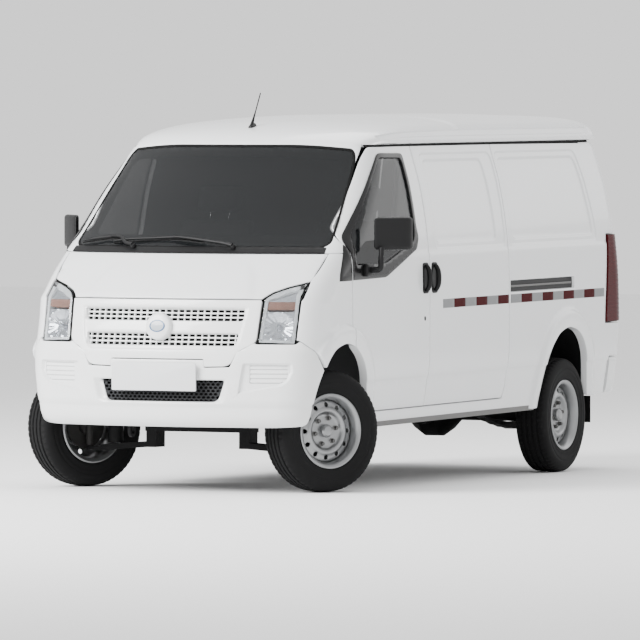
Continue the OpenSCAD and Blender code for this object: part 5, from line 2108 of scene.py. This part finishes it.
@dataclass
class Wheel:
    """One wheel: tyre with grooved tread and a steel disc wheel with twelve vent holes, nuts and a cap.

    Profiles are (radius, distance out along the axle).
    """
    centre: Array
    axis: Array
    body: str
    word: str
    radius: float = .318

    def build(self) -> None:
        """Builds the tyre and the wheel."""
        self.tyre()
        self.rim()

    def tyre(self) -> None:
        """Tyre carcass by turning; four grooves round the tread, and shoulder blocks cut by slots."""
        side = [(.1785, -.0675), (.1935, -.0775), (.206, -.085), (.212, -.0862), (.215, -.085),
                (.236, -.09),
                (.252, -.0918), (.2545, -.0908), (.257, -.0918), (.274, -.0915), (.292, -.087),
                (.303, -.0805), (.3105, -.073)]
        grooves = ((-.046, .0045), (-.0155, .005), (.0155, .005), (.046, .0045))
        tread, last = [], -.069
        for at, wide in grooves:
            tread += [(self.crown(last), last), (self.crown(at - wide - .002), at - wide - .002)]
            tread += [(self.crown(at) - .0075, at - wide + .001),
                      (self.crown(at) - .0075, at + wide - .001)]
            last = at + wide + .002
        tread += [(self.crown(last), last), (self.crown(.069), .069)]
        inner = [(.1785, .0605), (.24, .06), (.294, .05), (.296, 0.0), (.294, -.05), (.24, -.06),
                 (.1785, -.0605)]
        profile = np.array(side + tread + [(a, -b) for a, b in side[::-1]] + inner)
        n, u, v = frame_of(self.axis)
        turns = 240
        t = np.linspace(0, 2 * np.pi, turns, endpoint=False)
        radius = np.repeat(profile[:, :1], turns, 1)
        along = np.repeat(profile[:, 1:], turns, 1)
        shoulder = (np.abs(along) > .05) & (np.abs(along) < .0735) & (radius > .305)
        slot = (np.arange(turns) % 4 == 0)[None, :]
        radius = np.where(shoulder & slot, radius - .0042, radius)
        middle = (np.abs(along) < .045) & (radius > .311) & ((np.arange(turns) % 6) == 0)[None, :]
        radius = np.where(middle, radius - .002, radius)
        ring = np.cos(t)[:, None] * u + np.sin(t)[:, None] * v
        pts = self.centre + along[..., None] * n + radius[..., None] * ring[None]
        piece = make_mesh(f"tyre_{self.word}_carcass", pts.reshape(-1, 3),
                          grid_faces(len(profile), turns, True, True), [TYRE.material()], sharp=38)
        fit(outward(piece), self.body, "tyre_rubber", f"tyre_{self.word}")

    def crown(self, at: float) -> float:
        """Radius of the tread at a distance from its middle."""
        return self.radius - .0003 - .0052 * (abs(at) / .069) ** 2.4

    def rim(self) -> None:
        """Barrel with its flanges, then the pierced disc with raised ring, nuts and cap."""
        barrel = np.array([(.164, .056), (.169, .065), (.1715, .074), (.18, .082), (.187, .0862),
                           (.1925, .0858), (.1952, .0832), (.1945, .0795), (.1905, .0768), (.1783, .069),
                           (.1775, .0675), (.1772, .06), (.17, .04), (.17, -.04), (.1772, -.06),
                           (.1775, -.068), (.1945, -.0795), (.195, -.0835), (.187, -.086), (.17, -.076),
                           (.164, -.06), (.163, -.04), (.163, .04)])
        parts = [outward(turned("barrel", barrel, self.centre, self.axis, SILVER, 96))]
        parts.append(self.disc())
        cap = np.array([(0, .02), (.034, .02), (.0345, .046), (.0335, .0505), (.031, .0535), (.028, .0565),
                        (.024, .061), (.01, .0625), (0, .0626)])
        parts.append(outward(turned("cap", cap, self.centre, self.axis, SILVER, 48, close=False)))
        _, u, v = frame_of(self.axis)
        for k in range(6):
            a = math.radians(60 * k + 12)
            at = self.centre + (math.cos(a) * u + math.sin(a) * v) * .069
            nut = np.array([(0, .028), (.015, .028), (.015, .0325), (.0112, .034), (.0108, .046),
                            (.0085, .0495), (.0062, .05), (.006, .0475), (0, .0475)])
            parts.append(outward(turned("nut", nut, at, self.axis, STEEL, 6, close=False)))
        fit(joined(f"rim_{self.word}_disc", parts), self.body, "wheel_silver", f"rim_{self.word}")

    def disc(self) -> bpy.types.Object:
        """The disc: points laid on rings and round the holes, joined flat, then set to the dished profile."""
        dish = curve_through([.03, .052, .08, .088, .096, .104, .11, .118, .128, .15, .158, .1645],
                             [.03, .0302, .0305, .0335, .044, .053, .0545, .052, .045, .04, .036, .024])
        loops, edges, count = [], [], 0
        t = np.linspace(0, 2 * np.pi, 120, endpoint=False)
        circle = np.stack([np.cos(t), np.sin(t)], 1)
        for r in (.03, .1645):
            loops.append(circle * r)
            edges += [(count + i, count + (i + 1) % 120) for i in range(120)]
            count += 120
        holes = []
        s = np.linspace(0, 2 * np.pi, 24, endpoint=False)
        for k in range(12):
            a = 2 * np.pi * k / 12
            mid = .1375 * np.array([math.cos(a), math.sin(a)])
            for size in (.0122, .014):
                hole = mid + size * np.stack([np.cos(s), np.sin(s)], 1)
                loops.append(hole)
                if size < .013:
                    holes.append(hole)
                    edges += [(count + i, count + (i + 1) % 24) for i in range(24)]
                count += 24
        for r in (.042, .052, .064, .074, .08, .084, .088, .092, .096, .1, .105, .112, .118, .124, .13,
                  .137, .144, .15, .154, .158, .161):
            ring = circle * r
            clear = np.min([np.linalg.norm(ring - h.mean(0), axis=1) for h in holes], axis=0) > .0165
            loops.append(ring[clear])
        flat = np.concatenate(loops)
        verts, _, faces, _, _, _ = delaunay_2d_cdt(flat.tolist(), edges, [], 0, 1e-7)
        flat = np.array([tuple(p) for p in verts])
        tri = np.array([f for f in faces if len(f) == 3])
        mid = flat[tri].mean(1)
        keep = (np.hypot(mid[:, 0], mid[:, 1]) > .0299) & (np.hypot(mid[:, 0], mid[:, 1]) < .1646)
        for hole in holes:
            keep &= ~inside_loop(mid, hole)
        tri = tri[keep]
        radius = np.hypot(flat[:, 0], flat[:, 1])
        out = dish(radius)
        near = np.min([np.abs(np.linalg.norm(flat - h.mean(0), axis=1)) for h in holes], axis=0)
        out = out - .0016 * (1 - step_up(near, .0121, .0141))
        n, u, v = frame_of(self.axis)
        front = self.centre + flat[:, :1] * u + flat[:, 1:] * v + out[:, None] * n
        back = front - n * .0035
        return outward(make_mesh("disc", np.concatenate([front, back]), plate_faces(tri, len(flat)),
                                 [SILVER.material()], sharp=40))


def wheels() -> None:
    """The four wheels, the front ones turned about their kingpins as parked."""
    c, s = math.cos(PARKED_STEER), math.sin(PARKED_STEER)
    reach = HALF_TRACK - KINGPIN_X
    for side, word in SIDES:
        centre = np.array([side * (KINGPIN_X + reach * c), FRONT_AXLE + side * reach * s, HUB_HEIGHT])
        Wheel(centre, np.array([side * c, side * s, 0.0]), f"wheel_front_{word}", f"front_{word}").build()
        rear = np.array([side * HALF_TRACK, REAR_AXLE, HUB_HEIGHT])
        Wheel(rear, np.array([float(side), 0, 0]), f"wheel_rear_{word}", f"rear_{word}").build()


# ---- the cabin and the underside ----

@dataclass
class Cabin:
    """Dashboard, steering wheel, seats and interior mirror."""
    lines: Lines

    def build(self) -> None:
        """Builds the cabin's pieces."""
        self.dashboard()
        self.steering_wheel()
        self.seats()
        lining = lump("lining", (-.115, -1.195, 1.742), (.115, -1.165, 1.8), BLACK, .012)
        stem = tube("stem", tip(np.array(((0, -1.172, 1.795), (0, -1.15, 1.822)))), .006, BLACK)
        fit(joined("inner_mirror", [lining, stem]), BODY, "black_plastic")

    def dashboard(self) -> None:
        """Dashboard: a section carried across the cab, with a hood over the dials on the left."""
        section = np.array([(-1.716, 1.15), (-1.7, 1.172), (-1.6, 1.186), (-1.52, 1.184), (-1.45, 1.168),
                            (-1.405, 1.14), (-1.38, 1.095), (-1.378, 1.06), (-1.392, .99), (-1.405, .915),
                            (-1.44, .862), (-1.48, .846), (-1.712, .846)])
        x = np.linspace(-.705, .705, 60)
        shrink = 1 - .22 * (np.abs(x) / .705) ** 4
        hood = np.exp(-((x - .4) / .17) ** 4)
        pts = np.empty((60, len(section), 3))
        pts[..., 0] = x[:, None]
        pts[..., 1] = -1.4 + (section[None, :, 0] + 1.4) * np.where(section[None, :, 0] < -1.5,
                                                                    shrink[:, None], 1)
        rise = step_up(section[:, 1], 1.1, 1.17) * step_up(-section[:, 0], 1.38, 1.42)
        pts[..., 2] = section[None, :, 1] + .003 * hood[:, None] * rise[None, :]
        m = len(section)
        faces = grid_faces(60, m, False, True) + end_caps(60, m)
        body = outward(make_mesh("body", tip(pts.reshape(-1, 3)), faces, [DASH.material()], sharp=50))
        binnacle = lump("binnacle", (.25, -1.56, 1.15), (.55, -1.405, 1.189), DASH, .018)
        vents = [lump("vent", (a, -1.384, 1.055), (a + .13, -1.374, 1.1), BLACK, .004)
                 for a in (-.66, -.1, .02, .57)]
        fit(joined("dash_board", [body, binnacle] + vents), BODY, "black_plastic", "dashboard")

    def steering_wheel(self) -> None:
        """Steering wheel: padded ring, three spokes, hub pad and column."""
        centre = np.array([.4, -1.29, 1.11])
        tilt = math.radians(38)
        axis = tip(centre + np.array([0, math.sin(tilt), math.cos(tilt)])) - tip(centre)
        middle = tip(centre)
        t = np.linspace(0, 2 * np.pi, 20, endpoint=False)
        ring = np.stack([.19 + .0135 * np.cos(t), .0135 * np.sin(t)], 1)
        parts = [outward(turned("ring", ring, middle, axis, BLACK, 72))]
        pad = np.array([(0, -.035), (.04, -.035), (.056, -.022), (.058, -.004), (.05, .003), (.03, .005),
                        (0, .006)])
        parts.append(outward(turned("pad", pad, middle, axis, BLACK, 40, close=False)))
        column = np.array([(0, -.085), (.021, -.085), (.021, -.03), (0, -.03)])
        parts.append(outward(turned("column", column, middle, axis, BLACK, 28, close=False)))
        n, u, v = frame_of(axis)
        for a in (90, 210, 330):
            way = math.cos(math.radians(a)) * u + math.sin(math.radians(a)) * v
            parts.append(tube("spoke", [middle + way * .04 - n * .012, middle + way * .11 - n * .01,
                                        middle + way * .184 - n * .002], (.013, .01, .009), BLACK))
        fit(joined("steering_ring", parts), "steering_wheel", "black_plastic", "steering_wheel")

    def seats(self) -> None:
        """Two seats, each with a cushion, a back, a head rest on two rods, and a base."""
        for x, word in ((.4, "left"), (-.4, "right")):
            def soft(p: Array, x: float = x) -> Array:
                """Raised bolsters at both edges, softly crowned middle, and piping along the seams.

                Args:
                    p: Points, n by 3, in metres, level.
                    x: The seat's middle.

                Returns:
                    The moved points.
                """
                t = (p[:, 0] - x) / .235
                out = p.copy()
                out[:, 2] += .012 * np.abs(t) ** 3 - .012
                out[:, 2] -= .003 * np.exp(-((np.abs(t) - .62) / .04) ** 2)
                return out

            def lean(p: Array, x: float = x) -> Array:
                """Leans the back rearwards and narrows its top.

                Args:
                    p: Points, n by 3, in metres, level.
                    x: The seat's middle.

                Returns:
                    The moved points.
                """
                t = (p[:, 0] - x) / .235
                up = (p[:, 2] - .905) / .48
                out = p.copy()
                out[:, 1] += .115 * up - .014 * np.abs(t) ** 3 + .01
                out[:, 0] = x + (p[:, 0] - x) * (1 - .12 * up ** 2)
                out[:, 1] += .003 * np.exp(-((np.abs(t) - .6) / .04) ** 2)
                return out

            def tilt(p: Array) -> Array:
                """Sets the head rest in line with the back.

                Args:
                    p: Points, n by 3, in metres, level.

                Returns:
                    The moved points.
                """
                out = p.copy()
                out[:, 1] += .115 * (p[:, 2] - .905) / .48
                return out
            cushion = lump(f"seat_cushion_{word}", (x - .236, -1.152, .788), (x + .236, -.705, .896), CLOTH,
                           .045, soft, cuts=14)
            fit(cushion, BODY, "seat_fabric", "seats")
            back = lump(f"seat_back_{word}", (x - .232, -.76, .905), (x + .232, -.655, 1.385), CLOTH, .04,
                        lean, cuts=14)
            fit(back, BODY, "seat_fabric")
            rest = lump(f"seat_head_{word}", (x - .128, -.742, 1.425), (x + .128, -.662, 1.565), CLOTH,
                        .034, tilt, cuts=8)
            fit(rest, BODY, "seat_fabric")
            rods = []
            for a in (-.055, .055):
                line = np.array([(x + a, -.702, z) for z in (1.37, 1.4, 1.44)])
                rods.append(tube("rod", tip(tilt(line)), .0055, CHROME))
            base = lump("base", (x - .205, -1.098, .592), (x + .205, -.722, .786), CHASSIS, .015)
            fit(joined(f"seat_frame_{word}", rods + [base]), BODY, "seat_fabric")


def underside(nodes: dict) -> None:
    """Gives the carried-over CAD nodes their finishes.

    Args:
        nodes: The frame's nodes by name.
    """
    table = {"floor_pan": (FLOOR_PAINT, "grey_floor"), "underframe": (CHASSIS, "black_chassis"),
             "engine": (IRON, "cast_iron"), "front_suspension": (CHASSIS, "black_chassis"),
             "rear_axle": (CHASSIS, "black_chassis"), "leaf_springs": (CHASSIS, "black_chassis"),
             "propeller_shaft": (CHASSIS, "black_chassis"), "exhaust": (STEEL, "exhaust_steel"),
             "fuel_tank": (CHASSIS, "black_chassis"), "mud_flaps": (RUBBER, "black_rubber"),
             "knuckle_left": (IRON, "cast_iron"), "knuckle_right": (IRON, "cast_iron")}
    for name, (finish, slot) in table.items():
        node = nodes[name]
        node.data.materials.clear()
        node.data.materials.append(finish.material())
        node.data.polygons.foreach_set("use_smooth", np.ones(len(node.data.polygons), bool))
        node.data.set_sharp_from_angle(angle=math.radians(32))


# ---- the studio ----

@dataclass
class Studio:
    """Pale floor, soft lights and the camera."""

    def build(self) -> None:
        """Builds the floor, lights, world and camera."""
        self.floor()
        self.world()
        self.light("key", (-5.0, -9.5, 6.5), (0, -1.0, .9), 5.5, 3000)
        self.light("fill", (8.5, -4.0, 5.0), (.6, -.2, .9), 6.0, 60)
        self.light("top", (0.0, 5.0, 9.0), (0, .2, 1.0), 6.0, 350)
        self.light("back", (5.0, 8.5, 5.0), (0, .6, 1.0), 6.0, 150)
        self.camera()

    def floor(self) -> None:
        """Wide pale floor under the tyres."""
        r = 60.0
        finish = Finish("studio_floor", (.92, .92, .92), .9, grain=40, bump=0, mottle=.005, level=.1)
        floor = make_mesh("studio_floor", np.array([(x, y, -.0005) for x, y in box(-r, -r, r, r)]),
                          [[0, 1, 2, 3]], [finish.material()])

    def world(self) -> None:
        """White surroundings."""
        world = bpy.data.worlds.new("studio")
        bpy.context.scene.world = world
        world.use_nodes = True
        back = world.node_tree.nodes["Background"]
        back.inputs["Color"].default_value = (1, 1, 1, 1)
        back.inputs["Strength"].default_value = 1.22

    def light(self, name: str, at: tuple, to: tuple, size: float, power: float) -> None:
        """Square soft light that faces a point.

        Args:
            name: Name of the light.
            at: Where it stands.
            to: What it faces.
            size: Side of the square.
            power: Watts.
        """
        data = bpy.data.lights.new(name, "AREA")
        data.size, data.energy = size, power
        lamp = bpy.data.objects.new(name, data)
        bpy.context.scene.collection.objects.link(lamp)
        lamp.location = at
        lamp.rotation_euler = (Vector(to) - Vector(at)).to_track_quat("-Z", "Y").to_euler()

    def camera(self) -> None:
        """Long-lens camera, set by its back, right and up directions."""
        data = bpy.data.cameras.new("camera")
        data.lens, data.sensor_width = 414.01, 36.0
        data.clip_start, data.clip_end = 1.0, 400.0
        camera = bpy.data.objects.new("camera", data)
        bpy.context.scene.collection.objects.link(camera)
        right, up = (.91038983, .41371966, .00513741), (-.01271886, .01557274, .99979784)
        back = (.41355602, -.91027113, .01943931)
        turn = Matrix((right, up, back)).transposed().to_4x4()
        camera.matrix_world = Matrix.Translation((16.44928, -36.38221, 1.63249)) @ turn
        bpy.context.scene.camera = camera


def main() -> None:
    """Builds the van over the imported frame, in order from the shell inwards."""
    logging.basicConfig(level=logging.INFO, format="%(message)s")
    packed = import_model()
    lines = Lines(Skin())
    FixedBody(lines).build()
    for side, word in SIDES:
        FrontDoor(lines, side, word).build()
        SlidingDoor(lines, side, word).build()
    stripes(lines)
    Glazing(lines).build()
    Front(lines).build()
    Rear(lines).build()
    Antenna().build()
    wheels()
    Cabin(lines).build()
    underside(packed["nodes"])
    Studio().build()


if __name__ == "__main__":
    main()
